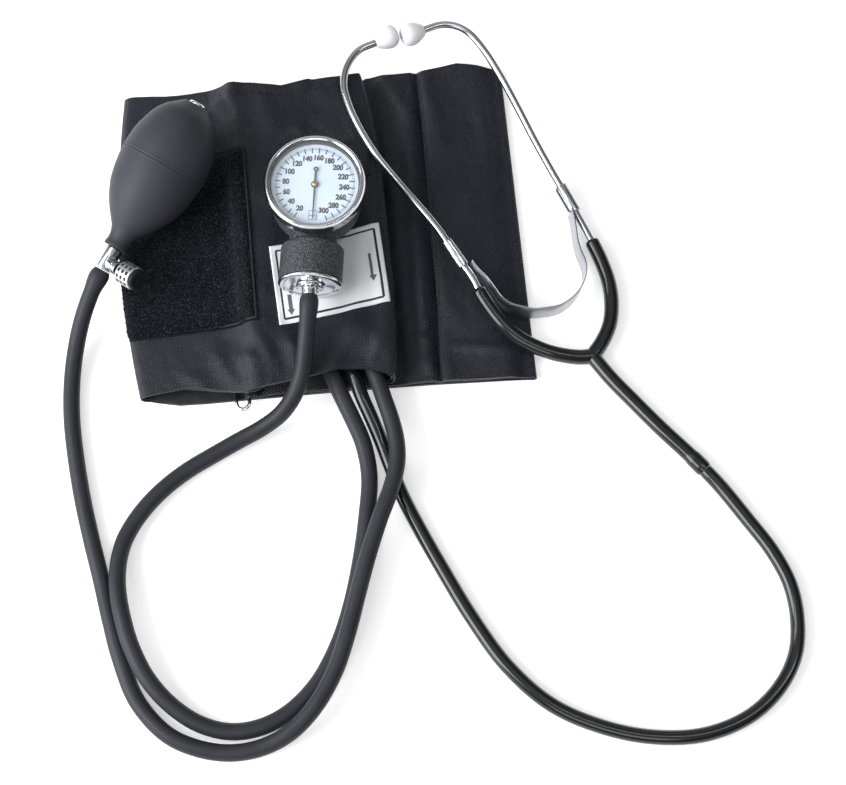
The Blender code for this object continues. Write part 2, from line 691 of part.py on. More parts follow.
def cuff_outer_rows():
    knots = ring_end()
    knots.append(knot(HOOK_PAD_START, UNDER_OUTER, -0.975, 0.98))
    knots.append(knot((HOOK_PAD_START + TOP_FOLD_START) / 2, UNDER_OUTER, -0.975, 0.98, top=0.2))
    height = OVER_OUTER - UNDER_OUTER
    for depth, rise in reversed(OUTER_FOLD_SHARES):
        knots.append(knot(TOP_FOLD_START + depth * TOP_FOLD_DEPTH, UNDER_OUTER + rise * height,
                          -0.975, 0.98, top=1))
    knots.append(knot(TOP_FOLD_START, OVER_OUTER, -0.975, 0.98, top=1))
    knots.append(knot(TOP_FOLD_START - LINING_BACK, OVER_OUTER, -0.97, 0.98, top=0.9))
    knots.append(knot(0, OVER_OUTER, -0.955, 0.975, top=0.2))
    knots.append(knot(BLADDER_START, OVER_OUTER, -0.97, 0.98))
    knots += top_layer(OUTER_RISE_SHARES)
    knots += arc(LEFT_CENTRE, LEFT_LEVEL, LEFT_FOLD, 90, 270, 6, low=-0.93, high=1.01, left=1)
    knots += floor_layer(FLOOR_OUTER)
    knots += arc(RIGHT_CENTRE, RIGHT_LEVEL, RIGHT_FOLD, -90, 90, 5, low=-1.01, high=1.01)
    knots += return_layer(RETURN_OUTER)
    return smooth_rows(knots)


def floor_layer(level):
    """The layer that lies on the table."""
    edge = LEFT_CENTRE + PILE_WIDTH / 2
    return [knot((LEFT_CENTRE + edge) / 2, level, -0.97, 1, left=0.5), knot(edge, level, -0.975, 0.98),
            knot(0, level, -0.975, 0.98), knot(RIGHT_CENTRE / 2, level, -0.985, 1.02)]


def return_layer(level):
    """The layer folded back over the table layer from the right."""
    return [knot(RIGHT_CENTRE * 0.78, level, -1, 1.065), knot(RIGHT_CENTRE / 2, level, -0.985, 1.02),
            knot(RIGHT_CENTRE / 4, level, -0.98, 0.99), knot(RETURN_END, level, -0.97, 0.97)]


def cuff_inner_rows():
    inner_fold = LEFT_FOLD - PITCH
    knots = [knot(HOOK_PAD_START, UNDER_INNER, -0.965, 0.97), knot(0, UNDER_INNER, -0.965, 0.97, top=0.3)]
    knots.append(knot(TOP_FOLD_START - LINING_BACK, UNDER_INNER, -0.965, 0.97, top=0.9))
    height = OVER_INNER - UNDER_INNER
    for depth, rise in reversed(INNER_FOLD_SHARES):
        knots.append(knot(TOP_FOLD_START + depth * TOP_FOLD_DEPTH, UNDER_INNER + rise * height,
                          -0.965, 0.97, top=1))
    knots.append(knot(TOP_FOLD_START - LINING_BACK, OVER_INNER, -0.96, 0.97, top=0.9))
    knots.append(knot(0, OVER_INNER, -0.945, 0.965, top=0.2))
    knots.append(knot(BLADDER_START, OVER_INNER, -0.96, 0.97))
    knots += top_layer(INNER_RISE_SHARES)
    knots += arc(LEFT_CENTRE, LEFT_LEVEL, inner_fold, 90, 270, 6, low=-0.92, high=1, left=1)
    knots += floor_layer(FLOOR_INNER)
    knots += arc(RIGHT_CENTRE, RIGHT_LEVEL, RIGHT_FOLD - PITCH, -90, 90, 4, low=-1, high=1)
    knots += return_layer(RETURN_INNER)
    return smooth_rows(knots)


def top_surface(rows, along, across):
    """The level of the cuff's top face, and its slope, at a place on the top layer."""
    spots = [(point.x + bowed(across, values[2], values[3]), point.y) for point, values in rows]
    top = [place for place, spot in enumerate(spots) if spot[1] > UNDER_INNER + CLOTH]
    along = min(along, max(spots[place][0] for place in top) - CLOTH / 2)
    best = None
    for place in top[:-1]:
        (start, low), (end, high) = spots[place], spots[place + 1]
        if min(start, end) <= along <= max(start, end) and start != end:
            level = low + (high - low) * (along - start) / (end - start)
            steep = math.hypot(end - start, high - low) / abs(end - start)
            if best is None or level > best[0]:
                best = (level, min(steep, 2.2))
    return best


def laid_patch(rows, corners, thickness, columns, lines):
    """A thin patch laid on the cuff's top face between four corners."""
    shape = bmesh.new()
    grids = []
    for height in (SEAT, SEAT + thickness):
        grid = []
        for line in range(lines + 1):
            row = []
            for column in range(columns + 1):
                one = corners[0].lerp(corners[1], column / columns)
                two = corners[3].lerp(corners[2], column / columns)
                spot = one.lerp(two, line / lines)
                level, steep = top_surface(rows, spot.x, spot.y)
                row.append(shape.verts.new((spot.x, spot.y, level + (CLOTH / 2 + height) * steep)))
            grid.append(row)
        grids.append(grid)
    for grid in grids:
        for first, second in zip(grid, grid[1:]):
            wrap_open(shape, first, second)
    lower, upper = grids
    for first, second in ((lower[0], upper[0]), (lower[-1], upper[-1]),
                          ([row[0] for row in lower], [row[0] for row in upper]),
                          ([row[-1] for row in lower], [row[-1] for row in upper])):
        wrap_open(shape, first, second)
    return shape


def wrap_open(shape, first, second):
    for place in range(len(first) - 1):
        shape.faces.new((first[place], first[place + 1], second[place + 1], second[place]))


def rounded_box(start, end, low, high, corner, steps):
    """The outline of a rectangle with round corners."""
    outline = []
    for centre_x, centre_y, turn in ((end - corner, low + corner, -90), (end - corner, high - corner, 0),
                                     (start + corner, high - corner, 90), (start + corner, low + corner, 180)):
        for step in range(steps + 1):
            angle = math.radians(turn + 90 * step / steps)
            outline.append((centre_x + corner * math.cos(angle), centre_y + corner * math.sin(angle)))
    return outline


def cuff_place(spot):
    """A world place, seen in the cuff's frame."""
    return Matrix.Rotation(-CUFF_TURN, 4, "Z") @ Vector(spot)


def port_frame(route):
    """Where a hose meets its bladder port, and which way the port runs on."""
    end, before = Vector(route[-1]), Vector(route[-2])
    way = (end - before).normalized()
    return end + way * SEAT, way


def build_cuff():
    cuff = empty("cuff_frame", turn=(0, 0, CUFF_TURN))
    outer_rows = cuff_outer_rows()
    inner_rows = cuff_inner_rows()
    publish("cuff_outer_cloth", sheet(outer_rows, CLOTH, CLOTH_COLUMNS), CLOTH_FINISH, cuff)
    inner = publish("cuff_inner_cloth", sheet(inner_rows, CLOTH, CLOTH_COLUMNS), LINING_FINISH, cuff)
    bladder_outline = rounded_box(BLADDER_START, BLADDER_END, BLADDER_LOW, BLADDER_HIGH, BLADDER_CORNER, 4)
    publish("bladder", prism(bladder_outline, BLADDER_BASE, BLADDER_BASE + BLADDER), RUBBER_FINISH, cuff)
    for name, route in (("bladder_port_gauge", GAUGE_HOSE_ROUTE), ("bladder_port_bulb", BULB_HOSE_ROUTE)):
        place, way = port_frame(route)
        build_port(name, place, way)
        spot = cuff_place(place + way * PORT_SLEEVE / 2)
        hole = disc(PORT_NECK + SEAT + SEAT, OVER_INNER - CLOTH, OVER_INNER + CLOTH, SMALL)
        carve(inner, tool_object(hole, cuff, (spot.x, spot.y, 0)))
    hook_outline = rounded_box(HOOK_PAD_START, HOOK_PAD_END, HOOK_PAD_LOW, HOOK_PAD_HIGH, HOOK_PAD, 2)
    publish("hook_pad", prism(hook_outline, HOOK_BASE, HOOK_BASE + HOOK_PAD), PILE_FINISH, cuff)
    build_loop_pad(cuff, outer_rows)
    reach = Vector((math.cos(LABEL_TURN), math.sin(LABEL_TURN))) * LABEL_LENGTH / 2
    rise = Vector((-math.sin(LABEL_LEAN), math.cos(LABEL_LEAN))) * LABEL_WIDTH / 2
    middle = Vector((LABEL_ALONG, LABEL_ACROSS))
    corners = [middle + reach * x + rise * y for x, y in ((-1, -1), (1, -1), (1, 1), (-1, 1))]
    publish("size_label", laid_patch(outer_rows, corners, LABEL, 12, 4), SATIN_FINISH, cuff)
    corners = [Vector((x, y)) for x, y in ((WEBBING_START, WEBBING_LOW), (WEBBING_END, WEBBING_LOW),
                                           (WEBBING_END, WEBBING_HIGH), (WEBBING_START, WEBBING_HIGH))]
    publish("gauge_loop", laid_patch(outer_rows, corners, WEBBING, 8, 2), CLOTH_FINISH, cuff)
    build_ring(cuff)


def build_port(name, place, way):
    """An elbow from the hose's end up into the bladder."""
    frame = towards(place, way)
    middle = place + way * PORT_SLEEVE / 2
    sleeve = moved(disc(HOSE / 2, 0, PORT_SLEEVE, SMALL), frame)
    elbow = publish(name, sleeve, RUBBER_FINISH)
    neck = disc(PORT_NECK, 0, BLADDER_BASE - SEAT - middle.z, SMALL)
    carve(elbow, tool_object(neck, place=middle), "UNION", "MANIFOLD")
    along = moved(disc(PORT_BORE, -OVERRUN, PORT_SLEEVE / 2 + PORT_BORE, SMALL), frame)
    carve(elbow, tool_object(along), solver="MANIFOLD")
    up = disc(PORT_BORE, 0, BLADDER_BASE, SMALL)
    carve(elbow, tool_object(up, place=middle), solver="MANIFOLD")


def build_loop_pad(cuff, outer_rows):
    """The pile pad on the left half of the top layer, from the left fold to its stitched edge."""
    rows = [row for row in outer_rows
            if row[0].x < LOOP_PAD_END and row[0].y > LEFT_LEVEL + LEFT_FOLD / 2]
    first = min(range(len(rows)), key=lambda place: abs(rows[place][0].x - LOOP_PAD_END))
    rows = rows[first:]

    def edges(share):
        return LOOP_PAD_LOW, LOOP_PAD_HIGH_RIGHT + (LOOP_PAD_HIGH_LEFT - LOOP_PAD_HIGH_RIGHT) * share

    lift = -(CLOTH / 2 + SEAT + LOOP_PAD / 2)
    publish("loop_pad", sheet(rows, LOOP_PAD, 5, lift=lift, edges=edges), PILE_FINISH, cuff)


def build_ring(cuff):
    """The wire ring; its pivot is the wire inside the cloth sleeve."""
    rest = RING_LEVEL - FLOOR_INNER - CLOTH / 2 - SEAT - RING_WIRE / 2
    tilt = math.asin(rest / RING_WIDTH)
    pivot = empty("ring_pivot", (RING_ALONG, 0, RING_LEVEL), (0, -tilt, 0), cuff)
    half = RING_WIDTH / 2
    points = []
    for centre, start in ((RING_LOW + half, 180), (RING_HIGH - half, 0)):
        for step in range(9):
            angle = math.radians(start + 180 * step / 8)
            points.append(Vector((-half + half * math.cos(angle), centre + half * math.sin(angle), 0)))
    publish("cuff_ring", looped_pipe(points, RING_WIRE / 2, 8), CHROME_FINISH, pivot)


# Gauge

def housing_outline(radius, depth, corner, rim):
    """Half outline of the round-bottomed bowl."""
    outline = [(0, -depth), (radius - corner, -depth)]
    for step in range(1, 6):
        angle = math.radians(90 * step / 5)
        outline.append((radius - corner + corner * math.sin(angle), -depth + corner - corner * math.cos(angle)))
    outline.append((radius, rim))
    return outline


def along_drum(shape):
    """Turn a piece so that its Z runs from the gauge's centre towards the hose, on the drum's axis."""
    return moved(shape, Matrix.Translation((0, 0, -DRUM_AXIS_DEPTH)) @ Matrix.Rotation(math.radians(90), 4, "X"))


def build_gauge():
    gauge = empty("gauge_frame", (GAUGE_X, GAUGE_Y, GAUGE_Z), (0, 0, GAUGE_TURN))
    build_housing(gauge)
    build_flange(gauge)
    build_capsule(gauge)
    build_movement(gauge)
    build_dial(gauge)


def build_housing(gauge):
    rim = -HOUSING_RIM_DROP
    outline = housing_outline(HOUSING_RADIUS, HOUSING_DEPTH, HOUSING_ROUND, rim)
    housing = publish("gauge_housing", turned(outline + [(0, rim)], FINE), CRINKLE_FINISH, gauge)
    shoulder = DRUM_START + HOUSING_WALL
    chamber = DRUM_RADIUS - HOUSING_WALL
    drum = turned([(0, HOUSING_RADIUS / 2), (NECK_RADIUS, HOUSING_RADIUS / 2), (NECK_RADIUS, DRUM_START),
                   (chamber, DRUM_START), (DRUM_RADIUS, shoulder), (DRUM_RADIUS, DRUM_END), (0, DRUM_END)], FINE)
    carve(housing, tool_object(along_drum(drum), gauge), "UNION", "MANIFOLD")
    inner_radius = HOUSING_RADIUS - HOUSING_WALL
    inner = housing_outline(inner_radius, HOUSING_DEPTH - HOUSING_WALL, HOUSING_ROUND, 0)
    ledge_top = LOWER_PLATE_LEVEL - SEAT
    ledge = [(inner_radius, ledge_top - LEDGE * 2), (inner_radius - LEDGE, ledge_top - LEDGE),
             (inner_radius - LEDGE, ledge_top), (inner_radius, ledge_top), (inner_radius, OVERRUN), (0, OVERRUN)]
    carve(housing, tool_object(turned(inner[:-1] + ledge, FINE), gauge), solver="MANIFOLD")
    passage = NECK_RADIUS - HOUSING_WALL
    room = turned([(0, HOUSING_RADIUS / 2), (passage, HOUSING_RADIUS / 2), (passage, shoulder),
                   (chamber, shoulder), (chamber, DRUM_END + OVERRUN), (0, DRUM_END + OVERRUN)], FINE)
    carve(housing, tool_object(along_drum(room), gauge), solver="MANIFOLD")


def build_flange(gauge):
    back = DRUM_END + SEAT
    face = back + FLANGE
    edge = FLANGE / 3
    outline = [(AIR_BORE, back), (FLANGE_RADIUS - edge, back), (FLANGE_RADIUS, back + edge),
               (FLANGE_RADIUS, face - edge), (FLANGE_RADIUS - edge, face), (BOSS_RADIUS, face),
               (BOSS_RADIUS, face + BOSS), (BARB_RADIUS, face + BOSS), (BARB_RADIUS, face + BOSS + BARB),
               (AIR_BORE, face + BOSS + BARB)]
    flange = publish("gauge_flange", along_drum(turned(outline, PLAIN, looped=True)), CHROME_FINISH, gauge)
    slot = BOSS / 2
    for turn in range(4):
        angle = math.radians(45 + 90 * turn)
        box = prism([(BARB_RADIUS + slot, -slot), (BOSS_RADIUS + slot, -slot), (BOSS_RADIUS + slot, slot),
                     (BARB_RADIUS + slot, slot)], face + slot, face + BOSS + OVERRUN)
        carve(flange, tool_object(along_drum(moved(box, Matrix.Rotation(angle, 4, "Z"))), gauge))


def build_capsule(gauge):
    """The corrugated capsule that swells in the drum, open to the air bore."""
    base = DRUM_END - SEAT
    span = base - CAPSULE_TOP
    outside = [(0, CAPSULE_TOP), (CAPSULE_NECK, CAPSULE_TOP)]
    for lobe in range(CAPSULE_LOBES):
        for share, radius in ((0.15, CAPSULE_RADIUS), (0.60, CAPSULE_RADIUS), (0.80, CAPSULE_NECK)):
            outside.append((radius, CAPSULE_TOP + span * (lobe + share) / (CAPSULE_LOBES + 0.2)))
    outside.append((CAPSULE_NECK, base))
    inside = [(radius - CAPSULE_WALL, height) for radius, height in reversed(outside[2:])]
    inside.append((CAPSULE_NECK - CAPSULE_WALL, CAPSULE_TOP + CAPSULE_WALL))
    inside.append((0, CAPSULE_TOP + CAPSULE_WALL))
    publish("capsule", along_drum(turned(outside + inside, SMALL)), BRASS_FINISH, gauge)
    rod = disc(ROD_RADIUS, ROD_END, CAPSULE_TOP - SEAT, SMALL)
    publish("push_rod", along_drum(rod), STEEL_FINISH, gauge)


def gear_outline(teeth, span_teeth, phase, tooth_shares, hub=0):
    """The outline of a gear, or of a toothed arc with straight sides to a hub.

    The shares give half a tooth's width at its root, its pitch line and its tip, in tooth pitches.
    """
    at_root, at_pitch, at_tip = tooth_shares
    radius = GEAR_MODULE * teeth / 2
    tip, root = radius + GEAR_MODULE * 0.8, radius - GEAR_MODULE * 1.05
    outline = []
    for tooth in range(span_teeth):
        middle = phase + math.tau * (tooth - (span_teeth - 1) / 2) / teeth
        for reach, offset in ((root, -at_root), (radius, -at_pitch), (tip, -at_tip), (tip, at_tip),
                              (radius, at_pitch), (root, at_root)):
            angle = middle + math.tau * offset / teeth
            outline.append((reach * math.cos(angle), reach * math.sin(angle)))
    if hub:
        for step in range(7):
            angle = phase + math.radians(100) + math.radians(160) * step / 6
            outline.append((hub * math.cos(angle), hub * math.sin(angle)))
    return outline


def sector_place():
    """The sector's pivot: one pitch distance from the pinion, a little to the left."""
    reach = GEAR_MODULE * PINION_TEETH * (1 + SECTOR_RATIO) / 2
    return -SECTOR_AWAY, -math.sqrt(reach ** 2 - SECTOR_AWAY ** 2)


def plate_holes(plate, gauge, bottom):
    """Holes for the pinion's and the sector's arbors."""
    for x, y in ((0, 0), sector_place()):
        hole = disc(ARBOR + SEAT, bottom - OVERRUN, bottom + PLATE + OVERRUN, SMALL)
        carve(plate, tool_object(hole, gauge, (x, y, 0)))


def build_movement(gauge):
    """Plates, pillars, screws, gears and spring that turn the pointer."""
    inner_radius = HOUSING_RADIUS - HOUSING_WALL
    lower_top = LOWER_PLATE_LEVEL + PLATE
    lower = disc(inner_radius - SEAT, LOWER_PLATE_LEVEL, lower_top, FINE)
    lower = publish("lower_plate", lower, BRASS_FINISH, gauge)
    plate_holes(lower, gauge, LOWER_PLATE_LEVEL)
    upper = disc(UPPER_PLATE_RADIUS, UPPER_PLATE_LEVEL, UPPER_PLATE_LEVEL + PLATE, PLAIN)
    upper = publish("upper_plate", upper, BRASS_FINISH, gauge)
    hole = disc(ARBOR + SEAT, UPPER_PLATE_LEVEL - OVERRUN, UPPER_PLATE_LEVEL + PLATE + OVERRUN, SMALL)
    carve(upper, tool_object(hole, gauge), solver="MANIFOLD")
    screw_top = UPPER_PLATE_LEVEL + PLATE + SEAT
    for number, turn in enumerate((335, 90, 175), start=1):
        angle = math.radians(turn)
        spot = (PILLAR_CIRCLE * math.cos(angle), PILLAR_CIRCLE * math.sin(angle), 0)
        pillar = disc(PILLAR_RADIUS, lower_top + SEAT, UPPER_PLATE_LEVEL + PLATE / 2, SMALL)
        carve(upper, tool_object(pillar, gauge, spot), "UNION", "MANIFOLD")
        bore = disc(SCREW_SHANK + SEAT, screw_top - SEAT - SCREW_LENGTH - SEAT, screw_top + OVERRUN, SMALL)
        carve(upper, tool_object(bore, gauge, spot), solver="MANIFOLD")
        screw = turned([(0, screw_top - SCREW_LENGTH), (SCREW_SHANK, screw_top - SCREW_LENGTH),
                        (SCREW_SHANK, screw_top), (SCREW_HEAD, screw_top),
                        (SCREW_HEAD, screw_top + SCREW_HEAD_HEIGHT), (0, screw_top + SCREW_HEAD_HEIGHT)], SMALL)
        publish("plate_screw_" + str(number), screw, STEEL_FINISH, gauge, spot)
    stud_x = HAIRSPRING_END + STUD_RADIUS + SEAT + HAIRSPRING_STRIP / 2
    stud = disc(STUD_RADIUS, HAIRSPRING_LEVEL, UPPER_PLATE_LEVEL + PLATE / 2, 8)
    carve(upper, tool_object(stud, gauge, (stud_x, 0, 0)), "UNION", "MANIFOLD")
    build_gears(gauge)
    build_hairspring(gauge)


def build_gears(gauge):
    away_x, away_y = sector_place()
    facing = math.atan2(-away_y, -away_x)
    pinion = prism(gear_outline(PINION_TEETH, PINION_TEETH, facing + math.pi + math.pi / PINION_TEETH,
                                PINION_TOOTH_SHARES), PINION_LEVEL, PINION_LEVEL + PINION_LENGTH)
    pinion = publish("pinion", pinion, BRASS_FINISH, gauge)
    arbor = disc(ARBOR, LOWER_PLATE_LEVEL + SEAT, POINTER_LEVEL + POINTER, SMALL)
    carve(pinion, tool_object(arbor, gauge), "UNION")
    teeth = PINION_TEETH * SECTOR_RATIO
    pitch = math.tau / teeth
    middle = facing - (math.floor(SECTOR_TRAVEL / 2 / pitch) + 0.5) * pitch
    pivot = empty("sector_pivot", (away_x, away_y, 0), parent=gauge)
    shape = prism(gear_outline(teeth, SECTOR_TEETH, middle, SECTOR_TOOTH_SHARES, CRANK_WIDTH),
                  SECTOR_LEVEL, SECTOR_LEVEL + SECTOR)
    sector = publish("sector_gear", shape, BRASS_FINISH, pivot)
    arbor = disc(ARBOR, CRANK_LEVEL, UPPER_PLATE_LEVEL - PLATE, SMALL)
    carve(sector, tool_object(arbor, pivot), "UNION")
    rest = -SECTOR_TRAVEL / 2
    arm = prism(rounded_box(-CRANK_WIDTH / 2, CRANK + CRANK_WIDTH / 2, -CRANK_WIDTH / 2, CRANK_WIDTH / 2,
                            CRANK_WIDTH / 2 - SEAT / 10, 4), CRANK_LEVEL, CRANK_LEVEL + PLATE)
    carve(sector, tool_object(moved(arm, Matrix.Rotation(rest, 4, "Z")), pivot), "UNION")


def build_hairspring(gauge):
    """A flat spiral from beside the arbor to the stud on the upper plate."""
    points = []
    steps = HAIRSPRING_TURNS * 14
    for step in range(steps + 1):
        share = step / steps
        radius = HAIRSPRING_START + (HAIRSPRING_END - HAIRSPRING_START) * share
        angle = math.tau * HAIRSPRING_TURNS * share
        points.append(Vector((radius * math.cos(angle), radius * math.sin(angle),
                              HAIRSPRING_LEVEL + HAIRSPRING_HEIGHT / 2)))
    least = min((points[one] - points[two]).length
                for one in range(len(points)) for two in range(one + 7, len(points)))
    print("hairspring: least gap between turns", round(1000 * (least - HAIRSPRING_STRIP), 3), "mm")
    section = [(-HAIRSPRING_STRIP / 2, -HAIRSPRING_HEIGHT / 2), (HAIRSPRING_STRIP / 2, -HAIRSPRING_HEIGHT / 2),
               (HAIRSPRING_STRIP / 2, HAIRSPRING_HEIGHT / 2), (-HAIRSPRING_STRIP / 2, HAIRSPRING_HEIGHT / 2)]
    shape = bmesh.new()
    rings = sweep_rings(shape, points, section)
    for first, second in zip(rings, rings[1:]):
        wrap(shape, first, second)
    shape.faces.new(rings[0])
    shape.faces.new(rings[-1])
    publish("hairspring", shape, STEEL_FINISH, gauge)


def build_dial(gauge):
    """Dial, pointer, lens and bezel, from the housing's rim upwards."""
    lens_radius = HOUSING_RADIUS
    dial_base = -HOUSING_RIM_DROP + SEAT
    dial_top = dial_base + DIAL
    publish("dial", disc(lens_radius - SEAT, dial_base, dial_top, FINE, DIAL_HOLE), DIAL_FINISH, gauge)
    gasket_base = dial_top + SEAT
    gasket_top = gasket_base + GASKET
    publish("lens_gasket", disc(lens_radius, gasket_base, gasket_top, FINE, BEZEL_OPENING), RUBBER_FINISH, gauge)
    lens_base = gasket_top + SEAT
    lens_top = lens_base + LENS
    edge = LENS / 3
    lens = turned([(0, lens_base), (lens_radius, lens_base), (lens_radius, lens_top - edge),
                   (lens_radius - edge * 2, lens_top), (0, lens_top)], FINE)
    publish("lens", lens, LENS_FINISH, gauge)
    lip = lens_top + SEAT
    skirt = HOUSING_RADIUS + SEAT
    wall = BEZEL_RADIUS - skirt
    outline = [(skirt, -BEZEL_SKIRT), (BEZEL_RADIUS - wall / 3, -BEZEL_SKIRT),
               (BEZEL_RADIUS, -BEZEL_SKIRT + wall / 2), (BEZEL_RADIUS, BEZEL_TOP - wall),
               (BEZEL_RADIUS - wall / 4, BEZEL_TOP - wall / 3), (BEZEL_RADIUS - wall * 0.7, BEZEL_TOP),
               (BEZEL_OPENING + SEAT, BEZEL_TOP - SEAT), (BEZEL_OPENING, lip), (skirt, lip)]
    publish("bezel", turned(outline, FINE, looped=True), CHROME_FINISH, gauge)
    build_pointer(gauge)


def pointer_outline():
    """The needle, its boss, its tail and the ring at the tail's end, as one outline."""
    half = POINTER_WIDTH / 2
    outline = [(half / 2, -POINTER_REACH)]

    def round_bit(centre, radius, start, end, steps):
        for step in range(steps + 1):
            angle = start + (end - start) * step / steps
            outline.append((radius * math.cos(angle), centre + radius * math.sin(angle)))

    meet = math.asin(half / POINTER_BOSS)
    eye_meet = math.asin(half / POINTER_RING)
    quarter = math.pi / 2
    round_bit(0, POINTER_BOSS, meet - quarter, quarter - meet, 8)
    round_bit(POINTER_TAIL, POINTER_RING, eye_meet - quarter, 3 * quarter - eye_meet, 12)
    round_bit(0, POINTER_BOSS, quarter + meet, 3 * quarter - meet, 8)
    outline.append((-half / 2, -POINTER_REACH))
    return outline


def build_pointer(gauge):
    turn = empty("pointer_pivot", parent=gauge)
    top = POINTER_LEVEL + POINTER
    pointer = publish("pointer", prism(pointer_outline(), POINTER_LEVEL, top), INK_FINISH, turn)
    for radius, spot in ((POINTER_RING / 2, POINTER_TAIL), (ARBOR + SEAT, 0)):
        hole = disc(radius, POINTER_LEVEL - OVERRUN, top + OVERRUN, SMALL)
        carve(pointer, tool_object(hole, turn, (0, spot, 0)))
    base = top + SEAT
    hub = turned([(0, base), (HUB_RADIUS, base), (HUB_RADIUS, base + HUB_HEIGHT / 2),
                  (HUB_RADIUS / 2, base + HUB_HEIGHT), (0, base + HUB_HEIGHT)], SMALL)
    publish("pointer_hub", hub, BRASS_FINISH, turn)


# Bulb and valves

def bulb_outline():
    """Inner and outer outline of the hollow bulb, from neck to far end and back."""
    outside = smooth([(share * BULB_RADIUS, place * BULB_LENGTH, 0) for place, share in BULB_SHARES],
                     BULB_LENGTH / 8)
    outer = [(point.x, point.y) for point in outside]
    inner = [(radius - BULB_WALL, height) for radius, height in outer]
    return outer + inner[::-1], inner


def build_bulb():
    bulb = empty("bulb_frame")
    bulb.matrix_world = towards(BULB_NECK, BULB_FALL, KNOB_WAY)
    outline, inner = bulb_outline()
    publish("bulb", turned(outline, PLAIN, looped=True), RUBBER_FINISH, bulb)
    far_bore = inner[-1][0]
    neck_bore = inner[0][0]
    build_inlet(bulb, far_bore - SEAT)
    build_valve(bulb, neck_bore - SEAT)


def build_inlet(bulb, radius):
    """Ball valve in the bulb's far mouth."""
    top = BULB_LENGTH - INLET_SINK
    bottom = top - INLET_LENGTH
    cavity = BALL_RADIUS + SEAT + SEAT
    throat = BALL_RADIUS * 0.7
    cavity_top = top - SCREEN - SEAT - SCREEN - CLOTH
    cavity_bottom = cavity_top - 2 * BALL_RADIUS - BALL_TRAVEL - SEAT - SEAT
    sink = top - SCREEN - SEAT
    outline = [(throat, bottom), (radius, bottom), (radius, top), (SCREEN_RADIUS + SEAT, top),
               (SCREEN_RADIUS + SEAT, sink), (throat, sink), (throat, cavity_top), (cavity, cavity_top),
               (cavity, cavity_bottom), (throat, cavity_bottom)]
    publish("inlet_valve", turned(outline, PLAIN, looped=True), CHROME_FINISH, bulb)
    centre = cavity_top - SEAT - BALL_RADIUS
    ball = bmesh.new()
    bmesh.ops.create_icosphere(ball, subdivisions=2, radius=BALL_RADIUS)
    publish("inlet_ball", moved(ball, Matrix.Translation((0, 0, centre))), STEEL_FINISH, bulb)
    screen = disc(SCREEN_RADIUS, sink + SEAT, top, PLAIN, throat / 2)
    publish("inlet_screen", screen, STEEL_FINISH, bulb)


def along_knob(shape):
    """Turn a piece so that its Z runs out along the side boss."""
    return moved(shape, Matrix.Translation((0, 0, -SIDE_BOSS_DROP)) @ Matrix.Rotation(math.radians(90), 4, "Y"))


def build_valve(bulb, spigot):
    """Release valve at the bulb's neck, with its flap, needle, seal and knob."""
    chamber = FLAP_RADIUS + SEAT + SEAT
    throat = FLAP_RADIUS * 0.6
    shoulder = SPIGOT_LENGTH * 2 / 3
    floor = shoulder - 2 * FLAP_TRAVEL - FLAP - SEAT
    outline = [(AIR_BORE, -VALVE_LENGTH), (VALVE_RADIUS, -VALVE_LENGTH), (VALVE_RADIUS, -SEAT), (spigot, -SEAT),
               (spigot, SPIGOT_LENGTH), (throat, SPIGOT_LENGTH), (throat, shoulder), (chamber, shoulder),
               (chamber, floor), (AIR_BORE, floor)]
    body = publish("valve_body", turned(outline, PLAIN, looped=True), CHROME_FINISH, bulb)
    inside = AIR_BORE + SEAT
    boss = along_knob(disc(SIDE_BOSS_RADIUS, inside, SIDE_BOSS_REACH, PLAIN))
    carve(body, tool_object(boss, bulb), "UNION")
    seal_room = SEAL_RADIUS + SEAT
    stem_bore = NEEDLE_RADIUS + SEAT
    seat_start = NEEDLE_TIP - SEAT
    bore = turned([(0, 0), (NEEDLE_RADIUS / 2, 0), (NEEDLE_RADIUS / 2, seat_start), (stem_bore, seat_start),
                   (stem_bore, SEAL_START - SEAT), (seal_room, SEAL_START - SEAT),
                   (seal_room, SIDE_BOSS_REACH + OVERRUN), (0, SIDE_BOSS_REACH + OVERRUN)], PLAIN)
    carve(body, tool_object(along_knob(bore), bulb))
    shaft_end = KNOB_START + NEEDLE_SOCKET
    needle = turned([(0, NEEDLE_TIP), (NEEDLE_RADIUS / 4, NEEDLE_TIP), (NEEDLE_RADIUS, NEEDLE_TIP + NEEDLE_RADIUS),
                     (NEEDLE_RADIUS, shaft_end), (0, shaft_end)], SMALL)
    publish("valve_needle", along_knob(needle), CHROME_FINISH, bulb)
    seal = disc(SEAL_RADIUS, SEAL_START, SEAL_START + SEAL_WIDTH, SMALL, SEAL_BORE)
    publish("needle_seal", along_knob(seal), RUBBER_FINISH, bulb)
    build_knob(bulb, stem_bore)
    flap = disc(FLAP_RADIUS, shoulder - SEAT - FLAP, shoulder - SEAT, SMALL)
    publish("outlet_flap", flap, RUBBER_FINISH, bulb)


